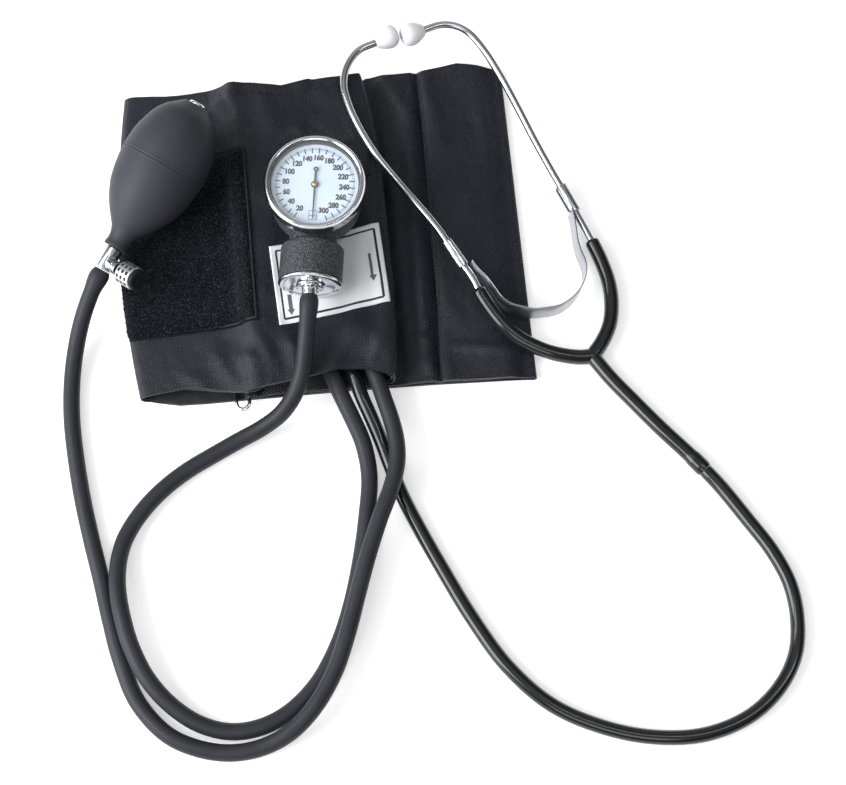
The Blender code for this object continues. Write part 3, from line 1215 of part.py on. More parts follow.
def build_knob(bulb, bore):
    length = KNOB_END - KNOB_START
    rib = (length - 2 * KNOB_BAND) / 3
    edge = KNOB_GROOVE
    outline = [(bore, KNOB_START), (KNOB_RADIUS - edge, KNOB_START), (KNOB_RADIUS, KNOB_START + edge)]
    place = KNOB_START + rib
    for _ in range(2):
        outline += [(KNOB_RADIUS, place), (KNOB_RADIUS - edge / 4, place, 1),
                    (KNOB_RADIUS - edge / 4, place + KNOB_BAND, 1), (KNOB_RADIUS, place + KNOB_BAND)]
        place += KNOB_BAND + rib
    outline += [(KNOB_RADIUS, KNOB_END - edge), (KNOB_RADIUS - edge, KNOB_END)]
    socket = KNOB_START + NEEDLE_SOCKET + SEAT
    outline += [(0, KNOB_END), (0, socket), (bore, socket)]
    shape = turned(outline, KNOB_GROOVES * 4, looped=True, notches=KNOB_GROOVES, notch=KNOB_GROOVE)
    publish("valve_knob", along_knob(shape), CHROME_FINISH, bulb)
    base = KNOB_END + SEAT
    cap = turned([(0, base), (CAP_RADIUS, base), (CAP_RADIUS, base + CAP_LENGTH / 2),
                  (CAP_RADIUS - CAP_LENGTH / 3, base + CAP_LENGTH), (0, base + CAP_LENGTH)], PLAIN)
    publish("knob_cap", along_knob(cap), RUBBER_FINISH, bulb)


# Stethoscope

def headset_points(shares):
    return [FORK + Vector((x * HEADSET_WIDTH, y * HEADSET_LENGTH, z * HEADSET_HEIGHT)) for x, y, z in shares]


def bore_pipe(name, points, radius, bore, sides, material, parent=None, origin=Vector((0, 0, 0))):
    """A bent tube with its bore right through."""
    shape = bmesh.new()
    local = [point - origin for point in points]
    outer = sweep_rings(shape, local, round_section(radius, sides))
    inner = sweep_rings(shape, local, round_section(bore, sides))
    for rings in (outer, inner):
        for first, second in zip(rings, rings[1:]):
            wrap(shape, first, second)
    for place in (0, -1):
        wrap(shape, outer[place], inner[place])
    return publish(name, shape, material, parent)


def build_headset():
    left_arm = headset_points(LEFT_ARM_SHARES)
    right_arm = headset_points(RIGHT_ARM_SHARES)
    arms = smooth(left_arm[::-1] + right_arm[1:], YOKE * 1.6)
    yoke = publish("y_yoke", pipe(arms, YOKE / 2, 10), VINYL_FINISH)
    stem = smooth(STEM_ROUTE, YOKE * 2)
    carve(yoke, tool_object(pipe(stem, STEM / 2, 10)), "UNION")
    left, right = headset_points(LEFT_TUBE_SHARES), headset_points(RIGHT_TUBE_SHARES)
    part_tips(left, right)
    build_ear_side("left", left, left_arm[-1])
    build_ear_side("right", right, right_arm[-1])
    build_leaf_spring()


def part_tips(left, right):
    """Set the tubes' ends one tip's length each side of the place where the two ear tips meet."""
    middle, apart = (left[-1] + right[-1]) / 2, (right[-1] - left[-1]).normalized()
    reach = TIP_LENGTH + SEAT + TIP_GAP / 2
    left[-1], right[-1] = middle - apart * reach, middle + apart * reach


def build_ear_side(side, knots, arm_end):
    """One chrome ear tube with its soft tip and the bracket that holds the spring."""
    way = (knots[1] - knots[0]).normalized()
    knots[0] = arm_end + way * EAR_TUBE_PLAY
    pivot = empty("ear_pivot_" + side, knots[0])
    points = smooth(knots, EAR_TUBE * 6)
    bore_pipe("ear_tube_" + side, points, EAR_TUBE / 2, EAR_TUBE / 2 * EAR_TUBE_BORE_SHARE, 8, CHROME_FINISH,
              pivot, knots[0])
    end = (knots[-1] - knots[-2]).normalized()
    base = TIP_STALK
    outline = [(EAR_TUBE / 4, 0), (base, 0), (base, TIP_LENGTH * 0.22), (TIP_RADIUS * 0.93, TIP_LENGTH * 0.30),
               (TIP_RADIUS, TIP_LENGTH * 0.45), (TIP_RADIUS * 0.93, TIP_LENGTH * 0.68),
               (TIP_RADIUS * 0.72, TIP_LENGTH * 0.88), (TIP_RADIUS * 0.36, TIP_LENGTH), (EAR_TUBE / 4, TIP_LENGTH)]
    frame = towards(knots[-1] + end * SEAT - knots[0], end)
    publish("ear_tip_" + side, moved(turned(outline, 14, looped=True), frame), TIP_FINISH, pivot)
    middle = knots[2]
    run = (knots[3] - knots[1]).normalized()
    bore = EAR_TUBE / 2 + SEAT
    clip = disc(bore + CLIP_WALL, -CLIP_LENGTH / 2, CLIP_LENGTH / 2, SMALL, bore)
    publish("spring_clip_" + side, moved(clip, towards(middle - knots[0], run)), CHROME_FINISH, pivot)


def build_leaf_spring():
    """A flat strip on edge, bent between the two brackets."""
    points = smooth(headset_points(SPRING_SHARES), SPRING_WIDTH)
    lean = Vector((math.sin(SPRING_TILT) * 0.6, math.sin(SPRING_TILT) * 0.8, math.cos(SPRING_TILT)))
    half, strip = SPRING_WIDTH / 2, SPRING_STRIP / 2
    section = [(-strip, -half), (strip, -half), (strip, half), (-strip, half)]
    shape = bmesh.new()
    rings = []
    for place, point in enumerate(points):
        way = points[min(place + 1, len(points) - 1)] - points[max(place - 1, 0)]
        side = way.cross(lean).normalized()
        rings.append([shape.verts.new(point + side * x + lean * y) for x, y in section])
    for first, second in zip(rings, rings[1:]):
        wrap(shape, first, second)
    shape.faces.new(rings[0])
    shape.faces.new(rings[-1])
    publish("leaf_spring", shape, STEEL_FINISH)


def build_chestpiece():
    """The chestpiece, face down between the cuff's layers."""
    cuff_spot = Matrix.Rotation(CUFF_TURN, 4, "Z") @ Vector((CHEST_ALONG, CHEST_ACROSS, 0))
    base = UNDER_INNER + CLOTH / 2 + SEAT
    place = Vector((cuff_spot.x, cuff_spot.y, base))
    chest = empty("chest_frame", place)
    inner = CHEST_RADIUS - CHEST_RIM_WALL
    rim = turned([(inner - SEAT, 0), (CHEST_RADIUS, 0), (CHEST_RADIUS, CHEST_RIM_HEIGHT),
                  (inner + SEAT, CHEST_RIM_HEIGHT), (inner + SEAT, SEAT), (inner - SEAT, SEAT)], PLAIN, looped=True)
    publish("chest_rim", rim, CHROME_FINISH, chest)
    diaphragm_base = SEAT * 2
    publish("chest_diaphragm", disc(inner, diaphragm_base, diaphragm_base + DIAPHRAGM, PLAIN), TIP_FINISH, chest)
    body_base = CHEST_RIM_HEIGHT + SEAT
    body = turned([(0, body_base + DIAPHRAGM), (inner / 2, body_base), (CHEST_RADIUS, body_base),
                   (CHEST_RADIUS, body_base + SEAT * 4), (CHEST_RADIUS * 0.8, CHEST_HEIGHT * 0.8),
                   (CHEST_RADIUS * 0.55, CHEST_HEIGHT), (0, CHEST_HEIGHT)], PLAIN)
    body = publish("chest_body", body, CHROME_FINISH, chest)
    tube_end = Vector(TUBE_ROUTE[-1])
    way = (Vector(TUBE_ROUTE[-1]) - Vector(TUBE_ROUTE[-2])).normalized()
    start = tube_end + way * SEAT
    inwards = Vector((place.x, place.y, start.z)) - start
    reach = inwards.length - CHEST_RADIUS * 0.6
    frame = towards(start - place, inwards)
    carve(body, tool_object(moved(disc(CHEST_STEM / 2, 0, reach, SMALL), frame), chest), "UNION")
    carve(body, tool_object(moved(disc(AIR_BORE, -OVERRUN, reach - CHEST_STEM, SMALL), frame), chest))


clear_scene()
build_cuff()
build_gauge()
build_bulb()
build_headset()
build_chestpiece()
cord("gauge_hose", GAUGE_HOSE_ROUTE, HOSE, RUBBER_FINISH, 2)
cord("bulb_hose", BULB_HOSE_ROUTE, HOSE, RUBBER_FINISH, 2)
cord("chest_tube", TUBE_ROUTE, TUBE, VINYL_FINISH, 2)
bpy.context.view_layer.update()
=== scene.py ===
# %% [markdown]
# # A home blood pressure set, dressed for its photograph
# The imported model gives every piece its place, its body and its joints. This lesson puts the real surfaces
# over it: cloth with its weave and folds, rubber, chrome, crinkle paint and a printed dial. Each step says
# what the piece is on the real set, how it could be made, and why it is made the way it is here.

# %% Load the frame
import math

import bmesh
import bpy
from mathutils import Matrix, Vector, noise


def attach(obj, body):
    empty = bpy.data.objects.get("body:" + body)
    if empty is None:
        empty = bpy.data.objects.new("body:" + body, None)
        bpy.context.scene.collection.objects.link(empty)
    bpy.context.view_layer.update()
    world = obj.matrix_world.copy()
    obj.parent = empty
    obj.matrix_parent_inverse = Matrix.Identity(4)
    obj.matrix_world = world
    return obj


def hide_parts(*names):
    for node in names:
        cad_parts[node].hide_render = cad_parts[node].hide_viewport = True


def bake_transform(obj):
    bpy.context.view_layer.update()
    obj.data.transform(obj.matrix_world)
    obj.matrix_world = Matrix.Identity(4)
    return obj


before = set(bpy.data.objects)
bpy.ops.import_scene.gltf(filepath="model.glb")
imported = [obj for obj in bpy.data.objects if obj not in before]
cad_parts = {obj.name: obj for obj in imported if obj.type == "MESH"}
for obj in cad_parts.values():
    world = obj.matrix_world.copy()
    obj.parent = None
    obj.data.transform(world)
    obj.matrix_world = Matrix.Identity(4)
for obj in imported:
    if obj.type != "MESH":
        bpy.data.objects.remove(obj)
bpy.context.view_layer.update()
ROOT = "cuff_assembly"

# %% [markdown]
# ## The camera
# A product photograph is taken from far away with a long lens, which keeps shapes from swelling towards the
# edges. The camera here looks down steeply on the middle of the set, so the lens is given by how many pixels
# of the photograph one radian covers.

# %% Camera
PHOTO_WIDTH = 846
PIXELS_PER_RADIAN = 2291.7
SENSOR_WIDTH = 36.0
LOOK_AT = Vector((0.04565, -0.07896, 0))
CAMERA_DISTANCE = 1.1
CAMERA_ELEVATION = math.radians(71.5)

lens = bpy.data.cameras.new("product_camera")
lens.sensor_width = SENSOR_WIDTH
lens.lens = SENSOR_WIDTH * PIXELS_PER_RADIAN / PHOTO_WIDTH
lens.clip_start = 0.01
camera = bpy.data.objects.new("product_camera", lens)
camera.location = LOOK_AT + CAMERA_DISTANCE * Vector((0, -math.cos(CAMERA_ELEVATION), math.sin(CAMERA_ELEVATION)))
camera.rotation_euler = (math.pi / 2 - CAMERA_ELEVATION, 0, 0)
bpy.context.scene.collection.objects.link(camera)
bpy.context.scene.camera = camera
bpy.context.scene.view_settings.view_transform = "Standard"
print("camera at", [round(value, 3) for value in camera.location])

# %% [markdown]
# ## Node helpers
# A finish is a small network of nodes round one Principled shader. Small helpers keep the networks readable: one
# adds a node and sets its sockets, one starts a material with its plain numbers on the shader's own sockets, and
# the others turn noise into a tone, a roughness or a bump.

# %% Node helpers
def add_node(tree, kind, settings=None, **sockets):
    """A node of one kind. Sockets are named with underscores, and take a value or another node's socket."""
    made = tree.nodes.new("ShaderNode" + kind)
    for key, value in (settings or {}).items():
        setattr(made, key, value)
    for key, value in sockets.items():
        socket = made.inputs[int(key[1:])] if key[1:].isdigit() else made.inputs[key.replace("_", " ")]
        if isinstance(value, bpy.types.NodeSocket):
            tree.links.new(value, socket)
        else:
            socket.default_value = value
    return made


def start_finish(name, colour, roughness, metallic=0, **extras):
    made = bpy.data.materials.new(name)
    made.use_nodes = True
    shader = made.node_tree.nodes["Principled BSDF"]
    shader.inputs["Base Color"].default_value = (*colour, 1)
    shader.inputs["Roughness"].default_value = roughness
    shader.inputs["Metallic"].default_value = metallic
    for key, value in extras.items():
        shader.inputs[key.replace("_", " ")].default_value = value
    return made, made.node_tree, shader


def blotches(tree, scale, detail=3, where="Object", roughness=0.5):
    """Soft random light and dark, in the object's own space."""
    place = add_node(tree, "TexCoord")
    return add_node(tree, "TexNoise", Vector=place.outputs[where], Scale=scale, Detail=detail,
                    Roughness=roughness).outputs["Fac"]


def between(tree, fac, low, high, start=0, end=1):
    """Turn a 0 to 1 value into a number between low and high."""
    return add_node(tree, "MapRange", _0=fac, _1=start, _2=end, _3=low, _4=high).outputs[0]


def two_tone(tree, fac, dark, light):
    mix = add_node(tree, "Mix", {"data_type": "RGBA"}, _0=fac, _6=(*dark, 1), _7=(*light, 1))
    return mix.outputs[2]


def raise_surface(tree, shader, height, depth, strength=1, under=None):
    bump = add_node(tree, "Bump", Height=height, Distance=depth, Strength=strength)
    if under is not None:
        tree.links.new(under, bump.inputs["Normal"])
    tree.links.new(bump.outputs["Normal"], shader.inputs["Normal"])
    return bump.outputs["Normal"]


# %% [markdown]
# ## Studio
# White background, soft light. The floor is a plain plane whose material glows a little where the camera or a
# reflection looks straight at it, so it reads as white paper and still takes the shadows. The lamps are large
# areas: a key high on the left, which gives the hoses and the bulb their long highlight, weaker ones in front and
# behind, and a narrow strip over each side.

# %% Studio floor and sky
def straight_look(tree):
    """1 where the camera, a mirror or a glass looks at the surface."""
    path = add_node(tree, "LightPath")
    seen = add_node(tree, "Math", {"operation": "MAXIMUM"}, _0=path.outputs["Is Camera Ray"],
                    _1=path.outputs["Is Glossy Ray"])
    return add_node(tree, "Math", {"operation": "MAXIMUM"}, _0=seen.outputs[0],
                    _1=path.outputs["Is Transmission Ray"]).outputs[0]


FLOOR_SIZE = 6.0
FLOOR_DROP = 0.0002
PAPER_GLOW = 0.45
paper, tree, shader = start_finish("white_paper", (0.86, 0.86, 0.86), 0.9)
shader.inputs["Emission Color"].default_value = (1, 1, 1, 1)
tree.links.new(between(tree, straight_look(tree), 0, PAPER_GLOW), shader.inputs["Emission Strength"])
bpy.ops.mesh.primitive_plane_add(size=FLOOR_SIZE, location=(LOOK_AT.x, LOOK_AT.y, -FLOOR_DROP))
floor = bpy.context.object
floor.name = "studio_floor"
floor.data.materials.append(paper)

sky = bpy.data.worlds.new("studio_sky")
sky.use_nodes = True
sky.node_tree.nodes.clear()
direction = add_node(sky.node_tree, "TexCoord").outputs["Generated"]
parts = add_node(sky.node_tree, "SeparateXYZ", _0=direction)
walls = between(sky.node_tree, parts.outputs["Z"], 0.62, 0.10, 0.02, 0.42)
ceiling = between(sky.node_tree, parts.outputs["Z"], 0, 0.36, 0.66, 0.92)
window = between(sky.node_tree, parts.outputs["X"], 1.35, 0.55, -0.8, 0.8)
both = add_node(sky.node_tree, "Math", {"operation": "ADD"}, _0=walls, _1=ceiling).outputs[0]
glow = add_node(sky.node_tree, "Math", {"operation": "MULTIPLY"}, _0=both, _1=window).outputs[0]
light = add_node(sky.node_tree, "Background", Color=(1, 1, 1, 1), Strength=glow)
add_node(sky.node_tree, "OutputWorld", Surface=light.outputs[0])
bpy.context.scene.world = sky

# %% Lamps
def soft_lamp(name, place, size, watts, tint=(1, 1, 1)):
    data = bpy.data.lights.new(name, "AREA")
    data.shape = "RECTANGLE"
    data.size, data.size_y = size
    data.energy = watts
    data.color = tint
    lamp = bpy.data.objects.new(name, data)
    lamp.location = place
    lamp.rotation_euler = (Vector(place) - LOOK_AT).to_track_quat("Z", "Y").to_euler()
    bpy.context.scene.collection.objects.link(lamp)


soft_lamp("key_lamp", (-1.15, -0.42, 0.78), (1.1, 1.1), 29)
soft_lamp("front_lamp", (-0.1, -1.15, 1.15), (0.9, 0.6), 4.5)
soft_lamp("back_lamp", (0.1, 1.2, 0.9), (1.3, 0.4), 1.2)
soft_lamp("left_strip", (-0.8, 0.2, 1.1), (0.12, 1.2), 3)
soft_lamp("right_strip", (0.55, -0.15, 1.2), (0.10, 1.0), 2)
print("lamps:", [thing.name for thing in bpy.data.lights])

# %% [markdown]
# ## Curves and sweeps
# Hoses, ear tubes and the yoke are all a round section carried along a smooth line. Blender's bevelled curves
# do this, but a mesh sweep also lets the radius swell where a hose is pushed over a barb. The line is read
# from a centripetal curve, which passes through every point without looping.

# %% Smooth lines
def curve_point(points, span, at):
    def mix(one, two, low, high):
        return one.lerp(two, (at - low) / (high - low))

    first = [mix(points[i], points[i + 1], span[i], span[i + 1]) for i in range(3)]
    second = [mix(first[i], first[i + 1], span[i], span[i + 2]) for i in range(2)]
    return mix(second[0], second[1], span[1], span[2])


def knot_spans(around):
    """The curve's own measure at four points: the running sum of the roots of their distances."""
    span = [0.0]
    for one, two in zip(around, around[1:]):
        span.append(span[-1] + math.sqrt((two - one).length))
    return span


def smooth_line(points, step):
    """Points every step or less along a smooth curve through the given ones."""
    knots = [Vector(point) for point in points]
    padded = [2 * knots[0] - knots[1], *knots, 2 * knots[-1] - knots[-2]]
    found = [knots[0]]
    for place in range(1, len(padded) - 2):
        around = padded[place - 1:place + 3]
        span = knot_spans(around)
        pieces = max(1, math.ceil((around[2] - around[1]).length / step))
        for piece in range(1, pieces + 1):
            found.append(curve_point(around, span, span[1] + (span[2] - span[1]) * piece / pieces))
    return found


def line_length(points):
    return sum((two - one).length for one, two in zip(points, points[1:]))


def runs(points):
    """The distance along the line at each point."""
    found = [0.0]
    for one, two in zip(points, points[1:]):
        found.append(found[-1] + (two - one).length)
    return found


def way_on(points, place):
    """The way from the point before a place to the one after it."""
    return points[min(place + 1, len(points) - 1)] - points[max(place - 1, 0)]


# %% Sweeps
UP = Vector((0, 0, 1))


def bridge(shape, first, second, closed=True):
    count = len(first)
    for place in range(count if closed else count - 1):
        after = (place + 1) % count
        shape.faces.new((first[place], first[after], second[after], second[place]))


def skin(shape, rings, capped=True):
    """Join rings of points one after another, and close the two ends."""
    for first, second in zip(rings, rings[1:]):
        bridge(shape, first, second)
    if capped:
        shape.faces.new(rings[0])
        shape.faces.new(rings[-1])
    return shape


def carried_frames(points):
    """At each point: the side and the top, carried along without twisting."""
    frames, top = [], UP
    for place in range(len(points)):
        way = way_on(points, place).normalized()
        side = way.cross(top).normalized()
        top = side.cross(way).normalized()
        frames.append((side, top))
    return frames


def round_ring(shape, centre, side, top, radius, sides):
    """A ring of points round a centre, in the plane of side and top."""
    return [shape.verts.new(centre + radius * (side * math.cos(math.tau * step / sides)
                                               + top * math.sin(math.tau * step / sides)))
            for step in range(sides)]


def sweep(points, radii, sides, bore=0):
    """A round bar or tube along points, with its own radius at each one."""
    shape = bmesh.new()
    outer, inner = [], []
    for point, (side, top), radius in zip(points, carried_frames(points), radii):
        for rings, reach in ((outer, radius), (inner, bore)):
            if reach:
                rings.append(round_ring(shape, point, side, top, reach, sides))
    if not bore:
        return skin(shape, outer)
    for rings in (outer, inner):
        skin(shape, rings, capped=False)
    for end in (0, -1):
        bridge(shape, outer[end], inner[end])
    return shape


# %% [markdown]
# ## Publishing a piece
# Every piece ends the same way: normals facing out, smooth shading with sharp corners kept, a finish, the
# body that it rides on, the material slot of the record, and the plain solid that it stands for.

# %% Publish a piece
def publish(name, shape, finish, body=ROOT, stands_for=(), sharp=40, where=None):
    """Turn a bmesh or a mesh into a named piece on a body."""
    if isinstance(shape, bmesh.types.BMesh):
        bmesh.ops.recalc_face_normals(shape, faces=shape.faces)
        if where is not None:
            bmesh.ops.transform(shape, matrix=where, verts=shape.verts)
        mesh = bpy.data.meshes.new(name)
        shape.to_mesh(mesh)
        shape.free()
    else:
        mesh = shape
        if where is not None:
            mesh.transform(where)
    mesh.shade_smooth()
    mesh.set_sharp_from_angle(angle=math.radians(sharp))
    mesh.materials.clear()
    mesh.materials.append(finish)
    made = bpy.data.objects.new(name, mesh)
    bpy.context.scene.collection.objects.link(made)
    if body:
        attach(made, body)
    if stands_for:
        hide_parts(*stands_for)
    print(name, len(mesh.vertices), "points")
    return made


# %% [markdown]
# ## Hose rubber
# The two air hoses are extruded rubber: dark grey, matt, with a faint bloom of dust that breaks up the long
# highlight. A flat grey would look like plastic, so the colour drifts a little along the hose and the
# roughness has fine speckle.

# %% Rubber finishes
def rubber_finish(name, dark, light, roughness, speckle=900, depth=0.00003):
    made, tree, shader = start_finish(name, dark, roughness, Specular_IOR_Level=0.25)
    broad = blotches(tree, 38, 4)
    tree.links.new(two_tone(tree, between(tree, broad, 0, 1, 0.35, 0.68), dark, light), shader.inputs["Base Color"])
    fine = blotches(tree, speckle, 2)
    tree.links.new(between(tree, fine, roughness - 0.06, roughness + 0.08), shader.inputs["Roughness"])
    raise_surface(tree, shader, fine, depth, 0.6)
    return made


hose_rubber = rubber_finish("hose_rubber", (0.020, 0.023, 0.028), (0.029, 0.032, 0.039), 0.46)
bulb_rubber = rubber_finish("bulb_rubber", (0.034, 0.037, 0.047), (0.043, 0.047, 0.059), 0.50, 700, 0.00004)

# %% [markdown]
# ## The hoses
# Both hoses are seen from end to end, so their lengths are the photographed ones: each leaves its fitting,
# comes down onto the table, makes one long loop and goes back under the cuff to the bladder. They are laid
# first, because everything else has to stay clear of them.

# %% Hose routes
HOSE = 0.0080
HOSE_STEP = 0.0025
GAUGE_HOSE_ROUTE = [
    (-0.0077, -0.0433, 0.0365), (-0.0080, -0.0490, 0.0364), (-0.0086, -0.0565, 0.0343),
    (-0.0095, -0.0665, 0.0305), (-0.0110, -0.0775, 0.0264), (-0.0145, -0.0865, 0.0214),
    (-0.0210, -0.0940, 0.0145), (-0.0305, -0.0995, 0.0086), (-0.0420, -0.1050, 0.0052),
    (-0.0550, -0.1125, 0.0042), (-0.0645, -0.1185, 0.0042), (-0.0735, -0.1255, 0.0042),
    (-0.0820, -0.1340, 0.0042), (-0.0890, -0.1435, 0.0044), (-0.0940, -0.1540, 0.0054),
    (-0.0960, -0.1655, 0.0074), (-0.0955, -0.1780, 0.0098), (-0.0925, -0.1920, 0.0110),
    (-0.0880, -0.2055, 0.0108), (-0.0805, -0.2195, 0.0094), (-0.0695, -0.2315, 0.0070),
    (-0.0560, -0.2400, 0.0050), (-0.0420, -0.2433, 0.0042), (-0.0285, -0.2413, 0.0042),
    (-0.0155, -0.2345, 0.0042), (-0.0030, -0.2215, 0.0042), (0.0060, -0.2045, 0.0042),
    (0.0120, -0.1860, 0.0042), (0.0165, -0.1635, 0.0042), (0.0193, -0.1410, 0.0042),
    (0.0203, -0.1220, 0.0044), (0.0175, -0.1070, 0.0060), (0.0125, -0.0955, 0.0088),
    (0.0080, -0.0865, 0.0110), (0.0038, -0.0775, 0.0118), (0.0005, -0.0695, 0.0118),
    (-0.0016, -0.0625, 0.0118), (-0.0025, -0.0555, 0.0118)]
BULB_HOSE_ROUTE = [
    (-0.1079, -0.0241, 0.0209), (-0.1112, -0.0300, 0.0190), (-0.1146, -0.0375, 0.0160),
    (-0.1182, -0.0475, 0.0116), (-0.1210, -0.0605, 0.0072), (-0.1223, -0.0760, 0.0046),
    (-0.1215, -0.0940, 0.0042), (-0.1185, -0.1140, 0.0042), (-0.1145, -0.1335, 0.0042),
    (-0.1095, -0.1530, 0.0042), (-0.1040, -0.1725, 0.0042), (-0.0990, -0.1915, 0.0042),
    (-0.0935, -0.2100, 0.0042), (-0.0850, -0.2295, 0.0042), (-0.0710, -0.2445, 0.0042),
    (-0.0565, -0.2510, 0.0042), (-0.0415, -0.2530, 0.0042), (-0.0270, -0.2505, 0.0052),
    (-0.0140, -0.2440, 0.0086), (-0.0030, -0.2325, 0.0118), (0.0055, -0.2170, 0.0132),
    (0.0110, -0.2000, 0.0134), (0.0155, -0.1815, 0.0134), (0.0200, -0.1635, 0.0133),
    (0.0255, -0.1450, 0.0131), (0.0310, -0.1295, 0.0129), (0.0335, -0.1170, 0.0127),
    (0.0330, -0.1065, 0.0124), (0.0305, -0.0960, 0.0121), (0.0273, -0.0865, 0.0119),
    (0.0246, -0.0785, 0.0118), (0.0218, -0.0705, 0.0118), (0.0196, -0.0630, 0.0118),
    (0.0185, -0.0555, 0.0118)]

# %% Lay the hoses
FLARE_LENGTH = 0.0115
FLARE = 0.22
CORD_SIDES = 28


def hose_radii(points, diameter, start_flare):
    """Even radii, swollen where the hose is pushed over the first fitting's barb."""
    radii = []
    for run in runs(points):
        share = run / FLARE_LENGTH
        swell = math.sin(math.pi * min(share, 1) ** 0.6) ** 1.3 * start_flare
        radii.append(diameter / 2 * (1 + swell - 0.04 * max(0, 1 - share * 6)))
    return radii


def lay_cord(name, route, diameter, finish, start_flare=0.0):
    points = smooth_line(route, HOSE_STEP)
    piece = publish(name + "_piece", sweep(points, hose_radii(points, diameter, start_flare), CORD_SIDES), finish,
                    stands_for=(name,))
    print(name, "is", round(line_length(points), 3), "m long")


lay_cord("gauge_hose", GAUGE_HOSE_ROUTE, HOSE, hose_rubber, FLARE * 0.6)
lay_cord("bulb_hose", BULB_HOSE_ROUTE, HOSE, hose_rubber, FLARE)

# %% [markdown]
# ## The stethoscope's tube
# The stethoscope has a softer, shinier tube of vinyl. Its gloss is what tells it from the hoses: a low
# roughness, a thin clear coat, and a very slight waviness so that the long reflection isn't ruler straight.

# %% Vinyl finish and tube
TUBE = 0.0070
TUBE_ROUTE = [
    (0.1792, -0.1192, 0.0042), (0.1865, -0.1276, 0.0039), (0.1980, -0.1430, 0.0038),
    (0.2090, -0.1585, 0.0038), (0.2165, -0.1745, 0.0038), (0.2190, -0.1920, 0.0038),
    (0.2170, -0.2080, 0.0038), (0.2090, -0.2230, 0.0038), (0.1950, -0.2360, 0.0038),
    (0.1740, -0.2445, 0.0038), (0.1495, -0.2455, 0.0038), (0.1260, -0.2405, 0.0038),
    (0.1040, -0.2305, 0.0038), (0.0845, -0.2130, 0.0038), (0.0685, -0.1905, 0.0038),
    (0.0550, -0.1675, 0.0038), (0.0440, -0.1475, 0.0038), (0.0357, -0.1310, 0.0038),
    (0.0303, -0.1170, 0.0039), (0.0256, -0.1045, 0.0052), (0.0212, -0.0945, 0.0082),
    (0.0172, -0.0860, 0.0106), (0.0138, -0.0775, 0.0116), (0.0110, -0.0690, 0.0118),
    (0.0088, -0.0610, 0.0118), (0.0072, -0.0540, 0.0118)]

vinyl, tree, shader = start_finish("gloss_vinyl", (0.010, 0.011, 0.013), 0.22, Coat_Weight=0.9,
                                   Coat_Roughness=0.13, Specular_IOR_Level=0.12)
waves = blotches(tree, 120, 2)
smudges = blotches(tree, 30, 4)
tree.links.new(between(tree, smudges, 0.17, 0.34, 0.35, 0.7), shader.inputs["Roughness"])
tree.links.new(two_tone(tree, smudges, (0.005, 0.006, 0.008), (0.011, 0.012, 0.015)), shader.inputs["Base Color"])
raise_surface(tree, shader, waves, 0.0002, 0.25)
lay_cord("chest_tube", TUBE_ROUTE, TUBE, vinyl)

# %% [markdown]
# ## Metal and soft plastic
# Chrome is nearly pure reflection, so it needs something to reflect: the pale studio, the dark cuff and the
# lamps. Thin chrome plate on tube and stampings is never a perfect mirror, so the roughness wanders a little
# and a faint bump bends the reflections. The ear tips are soft white plastic, which lets a little light in.

# %% Metals
def metal_finish(name, colour, roughness, wander=0.06, waviness=0.00002, scale=60):
    made, tree, shader = start_finish(name, colour, roughness, 1)
    wear = blotches(tree, scale, 4)
    tree.links.new(between(tree, wear, max(0.02, roughness - wander), roughness + wander, 0.3, 0.7),
                   shader.inputs["Roughness"])
    darker = tuple(value * 0.88 for value in colour)
    tree.links.new(two_tone(tree, between(tree, wear, 0, 1, 0.3, 0.7), darker, colour), shader.inputs["Base Color"])
    raise_surface(tree, shader, blotches(tree, scale * 6, 2), waviness, 0.5)
    return made


chrome = metal_finish("chrome_plate", (0.72, 0.74, 0.77), 0.13, 0.03, 0.000003)
tube_chrome = metal_finish("tube_chrome", (0.62, 0.64, 0.67), 0.20, 0.02, 0.000001, 40)
satin_chrome = metal_finish("satin_chrome", (0.60, 0.62, 0.66), 0.24, 0.03, 0.000001, 40)
spring_steel = metal_finish("spring_steel", (0.50, 0.52, 0.56), 0.30, 0.08)
knob_metal = metal_finish("knob_metal", (0.74, 0.75, 0.77), 0.42, 0.04, 0.000002, 40)
brass = metal_finish("lacquered_brass", (0.66, 0.45, 0.18), 0.30, 0.08)

tip_plastic, tree, shader = start_finish("tip_plastic", (0.86, 0.87, 0.88), 0.38, Subsurface_Weight=0.15,
                                         Subsurface_Scale=0.003)
drift = blotches(tree, 90, 3)
tree.links.new(two_tone(tree, drift, (0.84, 0.86, 0.90), (0.89, 0.91, 0.94)), shader.inputs["Base Color"])
tree.links.new(between(tree, drift, 0.32, 0.46), shader.inputs["Roughness"])
raise_surface(tree, shader, drift, 0.0001, 0.2)

# %% [markdown]
# ## Turned pieces
# Valves, rings, the bulb and the gauge's case are round, so each is an outline spun about an axis. Corners of
# the outline are softened first, because a real turned or pressed edge always catches a thin line of light.

# %% Lathe helpers
def soften(outline, radius, steps=3, closed=False):
    """Round the corners of an outline of (radius, height) points."""
    points = [Vector(point[:2]) for point in outline]
    count = len(points)
    found = []
    for place, corner in enumerate(points):
        if not closed and place in (0, count - 1):
            found.append(corner)
            continue
        back, on = points[place - 1] - corner, points[(place + 1) % count] - corner
        reach = min(radius, back.length * 0.45, on.length * 0.45)
        start, end = corner + back.normalized() * reach, corner + on.normalized() * reach
        for step in range(steps + 1):
            share = step / steps
            found.append(start.lerp(corner, share).lerp(corner.lerp(end, share), share))
    return found


